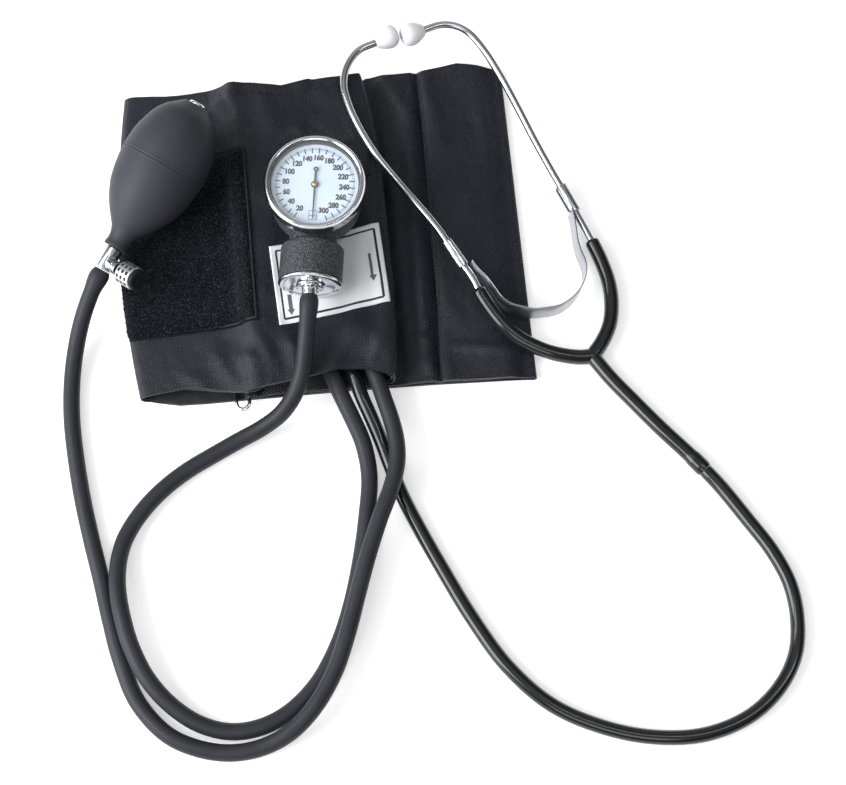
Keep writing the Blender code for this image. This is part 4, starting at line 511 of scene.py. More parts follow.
def lathe(outline, sides, closed=False):
    """Spin an outline of (radius, height) round Z. An open outline starts and ends on the axis."""
    shape = bmesh.new()
    rings = []
    for radius, height in outline:
        if radius < 1e-7:
            rings.append([shape.verts.new((0, 0, height))])
        else:
            rings.append([shape.verts.new((radius * math.cos(math.tau * step / sides),
                                           radius * math.sin(math.tau * step / sides), height))
                          for step in range(sides)])
    pairs = list(zip(rings, rings[1:])) + ([(rings[-1], rings[0])] if closed else [])
    for first, second in pairs:
        if len(first) == 1 and len(second) == 1:
            continue
        for step in range(sides):
            corners = []
            for ring, place in ((first, step), (first, step + 1), (second, step + 1), (second, step)):
                corner = ring[place % len(ring)]
                if corner not in corners:
                    corners.append(corner)
            shape.faces.new(corners)
    return shape


def frame_at(place, way, spin=Vector((1, 0, 0))):
    """A frame at a place whose Z runs along way and whose X leans to spin."""
    z_axis = Vector(way).normalized()
    x_axis = (Vector(spin) - z_axis * z_axis.dot(Vector(spin))).normalized()
    turn = Matrix((x_axis, z_axis.cross(x_axis), z_axis)).transposed().to_4x4()
    turn.translation = Vector(place)
    return turn


def prism(shape, low, high):
    """Close two matching rings of points into a solid."""
    shape.faces.new(low)
    shape.faces.new(high)
    bridge(shape, low, high)
    return shape


def slab(outline, bottom, top):
    """A flat outline pulled up from bottom to top."""
    shape = bmesh.new()
    return prism(shape, *([shape.verts.new((x, y, level)) for x, y in outline] for level in (bottom, top)))


def rectangle(x0, y0, x1, y1):
    return [(x0, y0), (x1, y0), (x1, y1), (x0, y1)]


def turned(shape, matrix):
    bmesh.ops.transform(shape, matrix=matrix, verts=shape.verts)
    return shape


def joined(*shapes):
    """Several bmeshes as one."""
    whole = bmesh.new()
    for shape in shapes:
        spare = bpy.data.meshes.new("spare")
        shape.to_mesh(spare)
        shape.free()
        whole.from_mesh(spare)
        bpy.data.meshes.remove(spare)
    return whole


def cut_out(target, tools, operation="DIFFERENCE"):
    """Boolean a list of bmeshes with a bmesh, and return the mesh that is left."""
    def holder(shape):
        bmesh.ops.recalc_face_normals(shape, faces=shape.faces)
        mesh = bpy.data.meshes.new("work")
        shape.to_mesh(mesh)
        shape.free()
        made = bpy.data.objects.new("work", mesh)
        bpy.context.scene.collection.objects.link(made)
        return made

    base = holder(target)
    helpers = [holder(tool) for tool in tools]
    for helper in helpers:
        step = base.modifiers.new("cut", "BOOLEAN")
        step.operation, step.solver, step.object = operation, "EXACT", helper
    bpy.context.view_layer.update()
    left = bpy.data.meshes.new_from_object(base.evaluated_get(bpy.context.evaluated_depsgraph_get()))
    for spare in (base, *helpers):
        bpy.data.objects.remove(spare, do_unlink=True)
    return left


# %% [markdown]
# ## The headset
# The stethoscope's yoke is one moulding of glossy vinyl with two arms and a stem. Its arms bend when the ear
# tubes are pulled apart. Here each arm is its own piece, and the steel leaf spring between the two brackets is
# made as two halves in the same way.

# %% Headset curves
FORK = Vector((0.1270, -0.0620, 0.0043))
HEADSET = Vector((0.1200, 0.1700, 0.0200))
YOKE = 0.0072
STEM = 0.0074
EAR_TUBE = 0.0038
EAR_TUBE_PLAY = 0.00065
LEFT_ARM_SHARES = [(0, 0, 0), (-0.05, -0.004, 0.03), (-0.11, -0.002, 0.095), (-0.171, 0.005, 0.175),
                   (-0.231, 0.019, 0.245), (-0.291, 0.039, 0.325), (-0.339, 0.065, 0.395),
                   (-0.383, 0.10, 0.455), (-0.423, 0.138, 0.52), (-0.456, 0.175, 0.585)]
RIGHT_ARM_SHARES = [(0, 0, 0), (0.04, 0.042, 0.005), (0.072, 0.094, 0.01), (0.083, 0.154, 0.015),
                    (0.075, 0.218, 0.02), (0.048, 0.282, 0.03), (0.008, 0.349, 0.045)]
LEFT_TUBE_SHARES = [(-0.459, 0.179, 0.59), (-0.476, 0.205, 0.62), (-0.549, 0.278, 0.705),
                    (-0.62, 0.353, 0.80), (-0.698, 0.419, 0.89), (-0.783, 0.49, 0.955),
                    (-0.868, 0.57, 0.975), (-0.93, 0.645, 0.975), (-0.98, 0.724, 0.975),
                    (-1.003, 0.794, 0.97), (-0.988, 0.855, 0.95), (-0.942, 0.905, 0.92),
                    (-0.876, 0.93, 0.89)]
RIGHT_TUBE_SHARES = [(0.005, 0.353, 0.046), (-0.022, 0.392, 0.055), (-0.084, 0.478, 0.085),
                     (-0.148, 0.56, 0.145), (-0.217, 0.654, 0.225), (-0.286, 0.755, 0.31),
                     (-0.359, 0.855, 0.41), (-0.425, 0.931, 0.50), (-0.487, 0.981, 0.585),
                     (-0.545, 1.001, 0.645), (-0.608, 1, 0.705), (-0.674, 0.98, 0.765)]
SPRING_SHARES = [(-0.487, 0.247, 0.63), (-0.462, 0.224, 0.61), (-0.428, 0.20, 0.57), (-0.398, 0.172, 0.533),
                 (-0.373, 0.147, 0.501), (-0.338, 0.127, 0.469), (-0.29, 0.117, 0.437),
                 (-0.238, 0.112, 0.405), (-0.186, 0.117, 0.372), (-0.138, 0.125, 0.34),
                 (-0.097, 0.144, 0.308), (-0.063, 0.169, 0.276), (-0.038, 0.201, 0.244),
                 (-0.025, 0.236, 0.212), (-0.029, 0.271, 0.179), (-0.045, 0.303, 0.147),
                 (-0.056, 0.335, 0.122), (-0.062, 0.372, 0.118), (-0.068, 0.405, 0.112), (-0.076, 0.436, 0.108)]
STEM_ROUTE = [
    (0.1270, -0.0620, 0.0043), (0.1355, -0.0730, 0.0043), (0.1455, -0.0840, 0.0042),
    (0.1590, -0.0985, 0.0042), (0.1725, -0.1120, 0.0042), (0.1790, -0.1190, 0.0042)]


def headset_points(shares):
    return [FORK + Vector(share) * HEADSET for share in shares]


left_arm, right_arm = headset_points(LEFT_ARM_SHARES), headset_points(RIGHT_ARM_SHARES)
left_tube, right_tube = headset_points(LEFT_TUBE_SHARES), headset_points(RIGHT_TUBE_SHARES)
for tube, arm in ((left_tube, left_arm), (right_tube, right_arm)):
    tube[0] = arm[-1] + (tube[1] - tube[0]).normalized() * EAR_TUBE_PLAY

# %% Yoke arms and stem
ARM_STEP = 0.0018
ARM_LIP = 0.0016
ROOT_SWELL, ROOT_LENGTH = 0.05, 0.02


def arm_radii(points):
    """The arm is a little thicker at the fork and ends in a rounded lip."""
    whole = line_length(points)
    radii = []
    for run in runs(points):
        left = whole - run
        reach = YOKE / 2 * (1 + ROOT_SWELL * max(0, 1 - run / ROOT_LENGTH))
        if left < ARM_LIP:
            reach *= 0.80 + 0.20 * math.sqrt(max(0, 1 - (1 - left / ARM_LIP) ** 2))
        radii.append(reach)
    return radii


def end_closely(points, reach, count=6):
    """Add points near the end of a line, so that a rounded end is smooth."""
    way = points[-2] - points[-1]
    reach = min(reach, way.length * 0.9)
    extra = [points[-1] + way.normalized() * reach * (1 - step / count) ** 2 for step in range(count)]
    return points[:-1] + extra + [points[-1]]


for side, arm, tube in (("left", left_arm, left_tube), ("right", right_arm, right_tube)):
    points = end_closely(smooth_line(arm, ARM_STEP), ARM_LIP)
    body = side + "_ear"
    piece = publish("yoke_arm_" + side, sweep(points, arm_radii(points), CORD_SIDES), vinyl, body=None,
                    stands_for=("y_yoke",), sharp=60)
    back = (points[-12] - points[-1]).normalized()
    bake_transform(piece)

points = smooth_line(STEM_ROUTE, ARM_STEP)
stem_radii = [STEM / 2 * (1.10 if place > len(points) - 7 else 1) for place in range(len(points))]
stem_radii[-1] *= 0.9
publish("yoke_stem", sweep(points, stem_radii, CORD_SIDES), vinyl, stands_for=("y_yoke",), sharp=60)

# %% Ear tubes, brackets and tips
TUBE_STEP = 0.0025
TIP_LENGTH = 0.0121
TIP_RADIUS = 0.0059
TIP_STALK = 0.0029
CLIP_LENGTH = 0.0150
CLIP_WALL = 0.0009
FIN_REACH = 0.0020
SEAT = 0.0003


def bracket(knots, fin_way):
    """A strip of sheet steel rolled round the tube, with a flat fin that carries the spring's end."""
    middle, run = knots[2], (knots[3] - knots[1]).normalized()
    bore = EAR_TUBE / 2 + SEAT / 2
    sleeve = soften([(bore, -CLIP_LENGTH / 2), (bore + CLIP_WALL, -CLIP_LENGTH / 2),
                     (bore + CLIP_WALL, CLIP_LENGTH / 2), (bore, CLIP_LENGTH / 2)], 0.0003, 2, closed=True)
    where = frame_at(middle, run, fin_way)
    rolled = lathe(sleeve, 40, closed=True)
    fin = slab([(bore + CLIP_WALL * 0.3, -CLIP_LENGTH / 2), (bore + FIN_REACH, -CLIP_LENGTH * 0.42),
                (bore + FIN_REACH, CLIP_LENGTH * 0.42), (bore + CLIP_WALL * 0.3, CLIP_LENGTH / 2)],
               -CLIP_WALL * 0.45, CLIP_WALL * 0.45)
    return joined(rolled, turned(fin, Matrix.Rotation(math.radians(90), 4, "X"))), where


TIP_OUTLINE = [(EAR_TUBE / 4, 0), (TIP_STALK, 0), (TIP_RADIUS * 0.62, TIP_LENGTH * 0.11),
               (TIP_RADIUS * 0.80, TIP_LENGTH * 0.25), (TIP_RADIUS * 0.93, TIP_LENGTH * 0.42),
               (TIP_RADIUS, TIP_LENGTH * 0.60), (TIP_RADIUS * 0.96, TIP_LENGTH * 0.76),
               (TIP_RADIUS * 0.83, TIP_LENGTH * 0.89), (TIP_RADIUS * 0.60, TIP_LENGTH * 0.97),
               (TIP_RADIUS * 0.36, TIP_LENGTH), (EAR_TUBE / 4, TIP_LENGTH * 0.98)]
for side, knots, fin_way in (("left", left_tube, Vector((0.6, -0.8, 0.1))),
                             ("right", right_tube, Vector((0.1, -1, 0.1)))):
    body = side + "_ear"
    points = smooth_line(knots, TUBE_STEP)
    publish("ear_tube_%s_piece" % side, sweep(points, [EAR_TUBE / 2] * len(points), 32, EAR_TUBE / 4), tube_chrome,
            body=body, stands_for=("ear_tube_" + side,), sharp=50)
    end = (knots[-1] - knots[-2]).normalized()
    publish("ear_tip_%s_piece" % side, lathe(soften(TIP_OUTLINE, 0.0012, 4, closed=True), 48, closed=True),
            tip_plastic, body=body, stands_for=("ear_tip_" + side,), sharp=70,
            where=frame_at(knots[-1] + end * SEAT, end))
    shape, where = bracket(knots, fin_way)
    publish("spring_clip_%s_piece" % side, shape, satin_chrome, body=body,
            stands_for=("spring_clip_" + side,), where=where)

# %% Leaf spring
SPRING_WIDTH = 0.0088
SPRING_STRIP = 0.0006
SPRING_STEP = 0.0015
SPRING_TILT = math.radians(18)
spring_lean = Vector((math.sin(SPRING_TILT) * 0.6, math.sin(SPRING_TILT) * 0.8, math.cos(SPRING_TILT)))


def leaf(points):
    """A flat strip on edge, with round edges."""
    half, strip = SPRING_WIDTH / 2, SPRING_STRIP / 2
    section = [(-strip, -half + strip), (-strip * 0.5, -half), (strip * 0.5, -half), (strip, -half + strip),
               (strip, half - strip), (strip * 0.5, half), (-strip * 0.5, half), (-strip, half - strip)]
    shape, rings = bmesh.new(), []
    for place, point in enumerate(points):
        side = way_on(points, place).cross(spring_lean).normalized()
        rings.append([shape.verts.new(point + side * x + spring_lean * y) for x, y in section])
    return skin(shape, rings)


spring_line = smooth_line(headset_points(SPRING_SHARES), SPRING_STEP)
middle = len(spring_line) // 2
for side, points, arm in (("left", spring_line[:middle + 1][::-1], left_arm),
                          ("right", spring_line[middle:], right_arm)):
    piece = publish("leaf_spring_" + side, leaf(points), spring_steel, body=None,
                    stands_for=("leaf_spring",))
    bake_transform(piece)

# %% [markdown]
# ## The gauge's case
# The case is a pressed bowl with a short neck and a drum for the corrugated capsule, sprayed with black
# crinkle paint. The paint dries into a skin of tiny hard wrinkles, and each one catches a speck of light, so
# the finish is cells of bump with a low roughness on their tops, and not a dark matt colour. These specks of
# light are also painted into the colour as light grey dots, which are painted glints.

# %% Crinkle paint
crinkle, tree, shader = start_finish("crinkle_paint", (0.030, 0.031, 0.034), 0.38, Specular_IOR_Level=0.3)
place = add_node(tree, "TexCoord").outputs["Object"]
cells = add_node(tree, "TexVoronoi", {"feature": "SMOOTH_F1"}, Vector=place, Scale=2300, Smoothness=0.4)
grit = add_node(tree, "TexNoise", Vector=place, Scale=1900, Detail=3).outputs["Fac"]
# The light grey specks are painted glints: the wrinkle tops are made lighter in colour as well as smoother.
painted_glint_specks = between(tree, grit, 0, 1, 0.48, 0.72)
tree.links.new(two_tone(tree, painted_glint_specks, (0.020, 0.022, 0.026), (0.19, 0.20, 0.22)), shader.inputs["Base Color"])
tree.links.new(between(tree, grit, 0.50, 0.26, 0.4, 0.7), shader.inputs["Roughness"])
under = raise_surface(tree, shader, cells.outputs["Distance"], 0.00022, 0.8)
raise_surface(tree, shader, grit, 0.00025, 0.9, under)

# %% Gauge place and sizes
GAUGE = Matrix.Translation((-0.0052, 0.0068, 0.0513)) @ Matrix.Rotation(math.radians(-2.9), 4, "Z")
HOUSING_DEPTH = 0.0300
HOUSING_RADIUS = 0.0219
HOUSING_WALL = 0.0016
HOUSING_ROUND = 0.0095
RIM_DROP = 0.0006
DRUM_RADIUS = 0.0150
DRUM_DEPTH = 0.0148
DRUM_START = 0.0255
DRUM_END = 0.0435
NECK_RADIUS = 0.0112
FINE = 96
ON_DRUM = Matrix.Translation((0, 0, -DRUM_DEPTH)) @ Matrix.Rotation(math.radians(90), 4, "X")
DRUM = GAUGE @ ON_DRUM


def on_drum(shape):
    return turned(shape, ON_DRUM)


# %% Case: bowl, neck and drum, hollow
outside = soften([(0, -HOUSING_DEPTH), (HOUSING_RADIUS - 0.004, -HOUSING_DEPTH),
                  (HOUSING_RADIUS, -HOUSING_DEPTH + HOUSING_ROUND), (HOUSING_RADIUS, -RIM_DROP), (0, -RIM_DROP)],
                 0.0085, 9)
outside = outside[:-11] + [Vector((HOUSING_RADIUS, -RIM_DROP)), Vector((0, -RIM_DROP))]
ROLL = 0.0009
drum_outside = [(0, HOUSING_RADIUS / 2), (NECK_RADIUS, HOUSING_RADIUS / 2), (NECK_RADIUS, DRUM_START - 0.0012),
                (DRUM_RADIUS - 0.0011, DRUM_START + 0.0002), (DRUM_RADIUS, DRUM_START + 0.0014),
                (DRUM_RADIUS, DRUM_END - ROLL), (DRUM_RADIUS - ROLL * 0.5, DRUM_END), (0, DRUM_END)]
drum_outside = soften(drum_outside, 0.0007, 4)
inner_radius = HOUSING_RADIUS - HOUSING_WALL
room = [(0, -HOUSING_DEPTH + HOUSING_WALL), (inner_radius - HOUSING_ROUND, -HOUSING_DEPTH + HOUSING_WALL),
        (inner_radius, -HOUSING_DEPTH + HOUSING_ROUND), (inner_radius, 0.001), (0, 0.001)]
drum_room = [(0, HOUSING_RADIUS / 2), (NECK_RADIUS - HOUSING_WALL, HOUSING_RADIUS / 2),
             (NECK_RADIUS - HOUSING_WALL, DRUM_START + HOUSING_WALL),
             (DRUM_RADIUS - HOUSING_WALL, DRUM_START + HOUSING_WALL),
             (DRUM_RADIUS - HOUSING_WALL, DRUM_END + 0.001), (0, DRUM_END + 0.001)]
case = cut_out(lathe(outside, FINE), [on_drum(lathe(drum_outside, FINE))], "UNION")
hollow = bmesh.new()
hollow.from_mesh(case)
case = cut_out(hollow, [lathe(room, FINE), on_drum(lathe(drum_room, FINE))])
publish("gauge_case", case, crinkle, stands_for=("gauge_housing",), where=GAUGE, sharp=38)

# %% [markdown]
# ## The gauge's face
# Under the lens lie a pale blue-white enamelled dial, its printed scale, and a thin black pointer. The scale
# runs clockwise from 20 to 300 with a mark every 2 and a longer one every 10, and a small box marks the zero.
# The figures are text objects turned into mesh, which is how lettering becomes part of a model.

# %% Dial, ink and lens finishes
dial_paint, tree, shader = start_finish("dial_enamel", (0.70, 0.80, 0.90), 0.42)
shade = blotches(tree, 45, 2)
tree.links.new(two_tone(tree, between(tree, shade, 0, 1, 0.3, 0.7), (0.67, 0.80, 0.96), (0.73, 0.86, 1.0)),
               shader.inputs["Base Color"])
raise_surface(tree, shader, blotches(tree, 900, 2), 0.00001, 0.3)

ink, tree, shader = start_finish("black_ink", (0.016, 0.017, 0.020), 0.5)
dots = blotches(tree, 1500, 2)
tree.links.new(two_tone(tree, dots, (0.010, 0.011, 0.013), (0.024, 0.026, 0.030)), shader.inputs["Base Color"])
tree.links.new(between(tree, dots, 0.4, 0.6), shader.inputs["Roughness"])

lens_clear, tree, shader = start_finish("lens_plastic", (0.96, 0.98, 1.0), 0.05, Alpha=0.07)
film = blotches(tree, 50, 2)
tree.links.new(between(tree, film, 0.04, 0.09), shader.inputs["Roughness"])

seal_rubber = rubber_finish("seal_rubber", (0.012, 0.013, 0.015), (0.022, 0.023, 0.026), 0.45)

# %% Bezel, lens, seal and dial
BEZEL_RADIUS = 0.0240
BEZEL_OPENING = 0.02115
BEZEL_TOP = 0.0050
BEZEL_SKIRT = 0.0030
LENS = 0.0014
GASKET = 0.0017
DIAL = 0.0006
DIAL_HOLE = 0.0014
DIAL_TOP = -RIM_DROP + SEAT + DIAL
GASKET_TOP = DIAL_TOP + SEAT + GASKET
LENS_TOP = GASKET_TOP + SEAT + LENS
skirt = HOUSING_RADIUS + SEAT
bezel_outline = soften([(skirt, -BEZEL_SKIRT), (BEZEL_RADIUS - 0.0004, -BEZEL_SKIRT), (BEZEL_RADIUS, -0.0021),
                        (BEZEL_RADIUS, BEZEL_TOP - 0.0016), (BEZEL_RADIUS - 0.0010, BEZEL_TOP),
                        (BEZEL_RADIUS - 0.0019, BEZEL_TOP), (BEZEL_OPENING, LENS_TOP + SEAT),
                        (skirt, LENS_TOP + SEAT)], 0.0007, 4, closed=True)
publish("gauge_bezel", lathe(bezel_outline, 128, closed=True), chrome, stands_for=("bezel",),
        where=GAUGE, sharp=50)
lens_outline = [(0, LENS_TOP - LENS), (HOUSING_RADIUS, LENS_TOP - LENS), (HOUSING_RADIUS, LENS_TOP - 0.0005),
                (HOUSING_RADIUS - 0.0009, LENS_TOP), (0, LENS_TOP)]
publish("gauge_lens", lathe(lens_outline, FINE), lens_clear, stands_for=("lens",), where=GAUGE)
gasket_outline = [(BEZEL_OPENING - 0.0006, GASKET_TOP - GASKET), (HOUSING_RADIUS, GASKET_TOP - GASKET),
                  (HOUSING_RADIUS, GASKET_TOP), (BEZEL_OPENING - 0.0006, GASKET_TOP)]
publish("lens_seal", lathe(soften(gasket_outline, 0.0004, 3, closed=True), FINE, closed=True), seal_rubber,
        stands_for=("lens_gasket",), where=GAUGE)
dial_outline = [(DIAL_HOLE, DIAL_TOP - DIAL), (HOUSING_RADIUS - SEAT, DIAL_TOP - DIAL),
                (HOUSING_RADIUS - SEAT, DIAL_TOP), (DIAL_HOLE, DIAL_TOP)]
publish("dial_plate", lathe(dial_outline, FINE, closed=True), dial_paint, stands_for=("dial",),
        where=GAUGE)

# %% Dial print
INK_BASE = DIAL_TOP + 0.00002
INK = 0.00005
TICK_OUTER = 0.0190
LONG_TICK, SHORT_TICK = (0.0027, 0.00056), (0.0013, 0.00018)
FIGURE_SIZE, FIGURE_RING = 0.0029, 0.01385
FIGURE_WEIGHT, FIGURE_STRETCH = 0.060, (1.10, 1.24, 1)
SCALE_LOW, SCALE_HIGH = 20, 300
MARK_EVERY, LONG_EVERY, FIGURE_EVERY = 2, 10, 20
SCALE_START = math.radians(-95)
SCALE_TURN = math.radians(1.115)


def scale_angle(pressure):
    """The direction of a mark, measured round from the dial's right."""
    return SCALE_START - SCALE_TURN * pressure


def mark(angle, inner, outer, width):
    shape = slab(rectangle(inner, -width / 2, outer, width / 2), INK_BASE, INK_BASE + INK)
    return turned(shape, Matrix.Rotation(angle, 4, "Z"))


def figures(words, size, spot):
    """Text as a thin mesh, centred on a place of the dial."""
    curve = bpy.data.curves.new("figures", "FONT")
    curve.body = words
    curve.size = size
    curve.align_x, curve.align_y = "CENTER", "CENTER"
    curve.extrude = INK / 2
    curve.offset = size * FIGURE_WEIGHT
    curve.resolution_u = 3
    helper = bpy.data.objects.new("figures", curve)
    bpy.context.scene.collection.objects.link(helper)
    bpy.context.view_layer.update()
    mesh = bpy.data.meshes.new_from_object(helper.evaluated_get(bpy.context.evaluated_depsgraph_get()))
    bpy.data.objects.remove(helper, do_unlink=True)
    shape = bmesh.new()
    shape.from_mesh(mesh)
    bpy.data.meshes.remove(mesh)
    bmesh.ops.scale(shape, verts=shape.verts, vec=FIGURE_STRETCH)
    bmesh.ops.translate(shape, verts=shape.verts, vec=(spot[0], spot[1], INK_BASE + INK / 2))
    return shape


marks = []
for pressure in range(SCALE_LOW, SCALE_HIGH + 1, MARK_EVERY):
    length, width = SHORT_TICK if pressure % LONG_EVERY else LONG_TICK
    marks.append(mark(scale_angle(pressure), TICK_OUTER - length, TICK_OUTER, width))
for pressure in range(SCALE_LOW, SCALE_HIGH + 1, FIGURE_EVERY):
    angle = scale_angle(pressure)
    marks.append(figures(str(pressure), FIGURE_SIZE, (FIGURE_RING * math.cos(angle), FIGURE_RING * math.sin(angle))))
BOX_LOW, BOX_HIGH, BOX_HALF, BOX_LINE = -0.0178, -0.0132, 0.0019, 0.00011
for x0, y0, x1, y1 in ((-1, 0, -1, 1), (1, 0, 1, 1), (-1, 0, 1, 0), (-1, 1, 1, 1), (-1, 0.45, 1, 0.45)):
    low, high = (BOX_LOW + (BOX_HIGH - BOX_LOW) * y for y in (y0, y1))
    outline = rectangle(x0 * BOX_HALF - BOX_LINE, low - BOX_LINE, x1 * BOX_HALF + BOX_LINE, high + BOX_LINE)
    marks.append(slab(outline, INK_BASE, INK_BASE + INK))
publish("dial_scale", joined(*marks), ink, where=GAUGE)

# %% Hose end: flange, boss and barb
FLANGE_RADIUS = 0.0152
FLANGE = 0.0015
BOSS_RADIUS = 0.0065
BOSS = 0.0013
BARB_RADIUS = 0.0036
BARB = 0.0033
AIR_BORE = 0.0014
back = DRUM_END + SEAT
face = back + FLANGE
flange_outline = soften([(AIR_BORE, back), (FLANGE_RADIUS - 0.0003, back), (FLANGE_RADIUS, back + 0.0004),
                         (FLANGE_RADIUS, face - 0.0005), (FLANGE_RADIUS - 0.0008, face),
                         (FLANGE_RADIUS - 0.0026, face), (FLANGE_RADIUS - 0.0031, face - 0.0004),
                         (BOSS_RADIUS + 0.0012, face - 0.0004), (BOSS_RADIUS, face), (BOSS_RADIUS, face + BOSS),
                         (BARB_RADIUS + 0.0006, face + BOSS), (BARB_RADIUS, face + BOSS + 0.0004),
                         (BARB_RADIUS, face + BOSS + BARB), (AIR_BORE, face + BOSS + BARB)], 0.0003, 3, closed=True)
slots = []
for turn in range(4):
    box = slab(rectangle(BARB_RADIUS + 0.0006, -0.0008, BOSS_RADIUS + 0.001, 0.0008), face + BOSS / 3,
               face + BOSS + 0.001)
    slots.append(turned(box, Matrix.Rotation(math.radians(45 + 90 * turn), 4, "Z")))
flange = cut_out(lathe(flange_outline, FINE, closed=True), slots)
publish("hose_flange", flange, chrome, stands_for=("gauge_flange",), where=DRUM, sharp=35)

# %% [markdown]
# ## The squeeze bulb
# The bulb is moulded in two halves that meet round its girth, which leaves a thin groove with a slight lip on
# each side. Its rubber is matt and a little dusty. A chrome valve is pushed into each mouth: the inlet at the
# far end, under a small screen, and the release valve with its knurled knob at the neck.

# %% Bulb
BULB_NECK = Vector((-0.1019, -0.0140, 0.0239))
BULB_FALL = Vector((0.497, 0.831, 0.248))
KNOB_WAY = Vector((0.729, -0.555, 0.400))
BULB_LENGTH = 0.0805
RUBBER_LENGTH = 0.0786
BULB_RADIUS = 0.0212
BULB_WALL = 0.0030
MOUTH = 0.0041
BULB_SHARES = [(0, 0.275), (0.04, 0.265), (0.08, 0.282), (0.115, 0.335), (0.155, 0.445), (0.20, 0.57), (0.26, 0.71),
               (0.355, 0.87), (0.46, 0.96), (0.577, 1), (0.70, 0.98), (0.80, 0.885), (0.87, 0.78), (0.925, 0.64),
               (0.97, 0.45), (1, 0.32)]
BULB = frame_at(BULB_NECK, BULB_FALL, KNOB_WAY)
PART_LINE = 0.565
GROOVE = 0.00028
NECK_LIP = 0.0003
SEAM_STEPS = 20


def bulb_radius(radius, height):
    """Add the parting groove, its lips and the bead round the neck's mouth to the plain shape."""
    off = abs(height / BULB_LENGTH - PART_LINE) * BULB_LENGTH
    radius += -GROOVE * max(0, 1 - off / 0.00035) + GROOVE * 0.35 * math.exp(-((off - 0.0007) / 0.0005) ** 2)
    return radius + NECK_LIP * math.exp(-((height - 0.0012) / 0.0011) ** 2)


outer = [(point.x, point.y) for point in
         smooth_line([(share * BULB_RADIUS, place * RUBBER_LENGTH, 0) for place, share in BULB_SHARES], 0.0009)]
seam_height = PART_LINE * BULB_LENGTH
near = [(radius, height) for radius, height in outer if abs(height - seam_height) > 0.0016]
split = next(place for place, spot in enumerate(near) if spot[1] > seam_height)
(low_radius, low), (high_radius, high) = near[split - 1], near[split]
extra = [(low_radius + (high_radius - low_radius) * step / SEAM_STEPS, low + (high - low) * step / SEAM_STEPS)
         for step in range(1, SEAM_STEPS)]
outer = near[:split] + extra + near[split:]
inner = [(max(radius - BULB_WALL, MOUTH), height) for radius, height in outer[::4] + [outer[-1]]]
outer = [(bulb_radius(radius, height), height) for radius, height in outer]
publish("squeeze_bulb", lathe(outer + inner[::-1], 112, closed=True), bulb_rubber,
        stands_for=("bulb",), where=BULB, sharp=60)

# %% Inlet valve at the far end
inlet_radius = 0.0039
INLET_TOP = BULB_LENGTH - 0.0004
RIM_RADIUS = 0.0044
THROAT = 0.00105
ROOM = 0.0021
inlet_outline = soften([(THROAT, INLET_TOP - 0.0078), (inlet_radius, INLET_TOP - 0.0078),
                        (inlet_radius, RUBBER_LENGTH + 0.0001), (RIM_RADIUS, RUBBER_LENGTH + 0.0001),
                        (RIM_RADIUS, INLET_TOP - 0.0006), (RIM_RADIUS - 0.0006, INLET_TOP), (0.0031, INLET_TOP),
                        (0.0031, INLET_TOP - 0.0007), (THROAT, INLET_TOP - 0.0007),
                        (THROAT, INLET_TOP - 0.0018), (ROOM, INLET_TOP - 0.0018), (ROOM, INLET_TOP - 0.0064),
                        (THROAT, INLET_TOP - 0.0064)], 0.0002, 2, closed=True)
publish("inlet_body", lathe(inlet_outline, 64, closed=True), chrome, stands_for=("inlet_valve",),
        where=BULB)

# %% Release valve body
VALVE_RADIUS = 0.00415
VALVE_LENGTH = 0.0118
SPIGOT_LENGTH = 0.0090
SIDE_DROP = 0.0080
SIDE_RADIUS = 0.0034
SIDE_REACH = 0.0085
NEEDLE_RADIUS = 0.0017
FLAP_RADIUS = 0.0018
spigot = 0.0032
TURN_TO_KNOB = Matrix.Translation((0, 0, -SIDE_DROP)) @ Matrix.Rotation(math.radians(90), 4, "Y")
chamber = FLAP_RADIUS + 2 * SEAT
shoulder = SPIGOT_LENGTH * 2 / 3
floor_level = shoulder - 2 * 0.001 - 0.0005 - SEAT


def along_knob(shape):
    return turned(shape, TURN_TO_KNOB)


body_outline = soften([(AIR_BORE, -VALVE_LENGTH), (VALVE_RADIUS - 0.0004, -VALVE_LENGTH),
                       (VALVE_RADIUS, -VALVE_LENGTH + 0.0006), (VALVE_RADIUS, -SEAT),
                       (spigot, -SEAT), (spigot, SPIGOT_LENGTH), (0.0011, SPIGOT_LENGTH), (0.0011, shoulder),
                       (chamber, shoulder), (chamber, floor_level), (AIR_BORE, floor_level)], 0.00025, 3, closed=True)
boss_outline = soften([(0, AIR_BORE + SEAT), (SIDE_RADIUS, AIR_BORE + SEAT), (SIDE_RADIUS, 0.0056),
                       (SIDE_RADIUS - 0.0005, 0.0060), (SIDE_RADIUS - 0.0005, 0.0066), (SIDE_RADIUS, 0.0070),
                       (SIDE_RADIUS, SIDE_REACH), (0, SIDE_REACH)], 0.00025, 3)
bore_outline = [(0, 0), (NEEDLE_RADIUS / 2, 0), (NEEDLE_RADIUS / 2, 0.0023), (NEEDLE_RADIUS + SEAT, 0.0023),
                (NEEDLE_RADIUS + SEAT, 0.0061), (0.0029, 0.0061), (0.0029, SIDE_REACH + 0.001),
                (0, SIDE_REACH + 0.001)]
body = cut_out(lathe(body_outline, 72, closed=True), [along_knob(lathe(boss_outline, 64))], "UNION")
solid = bmesh.new()
solid.from_mesh(body)
publish("release_body", cut_out(solid, [along_knob(lathe(bore_outline, 48))]), tube_chrome,
        stands_for=("valve_body",), where=BULB, sharp=38)

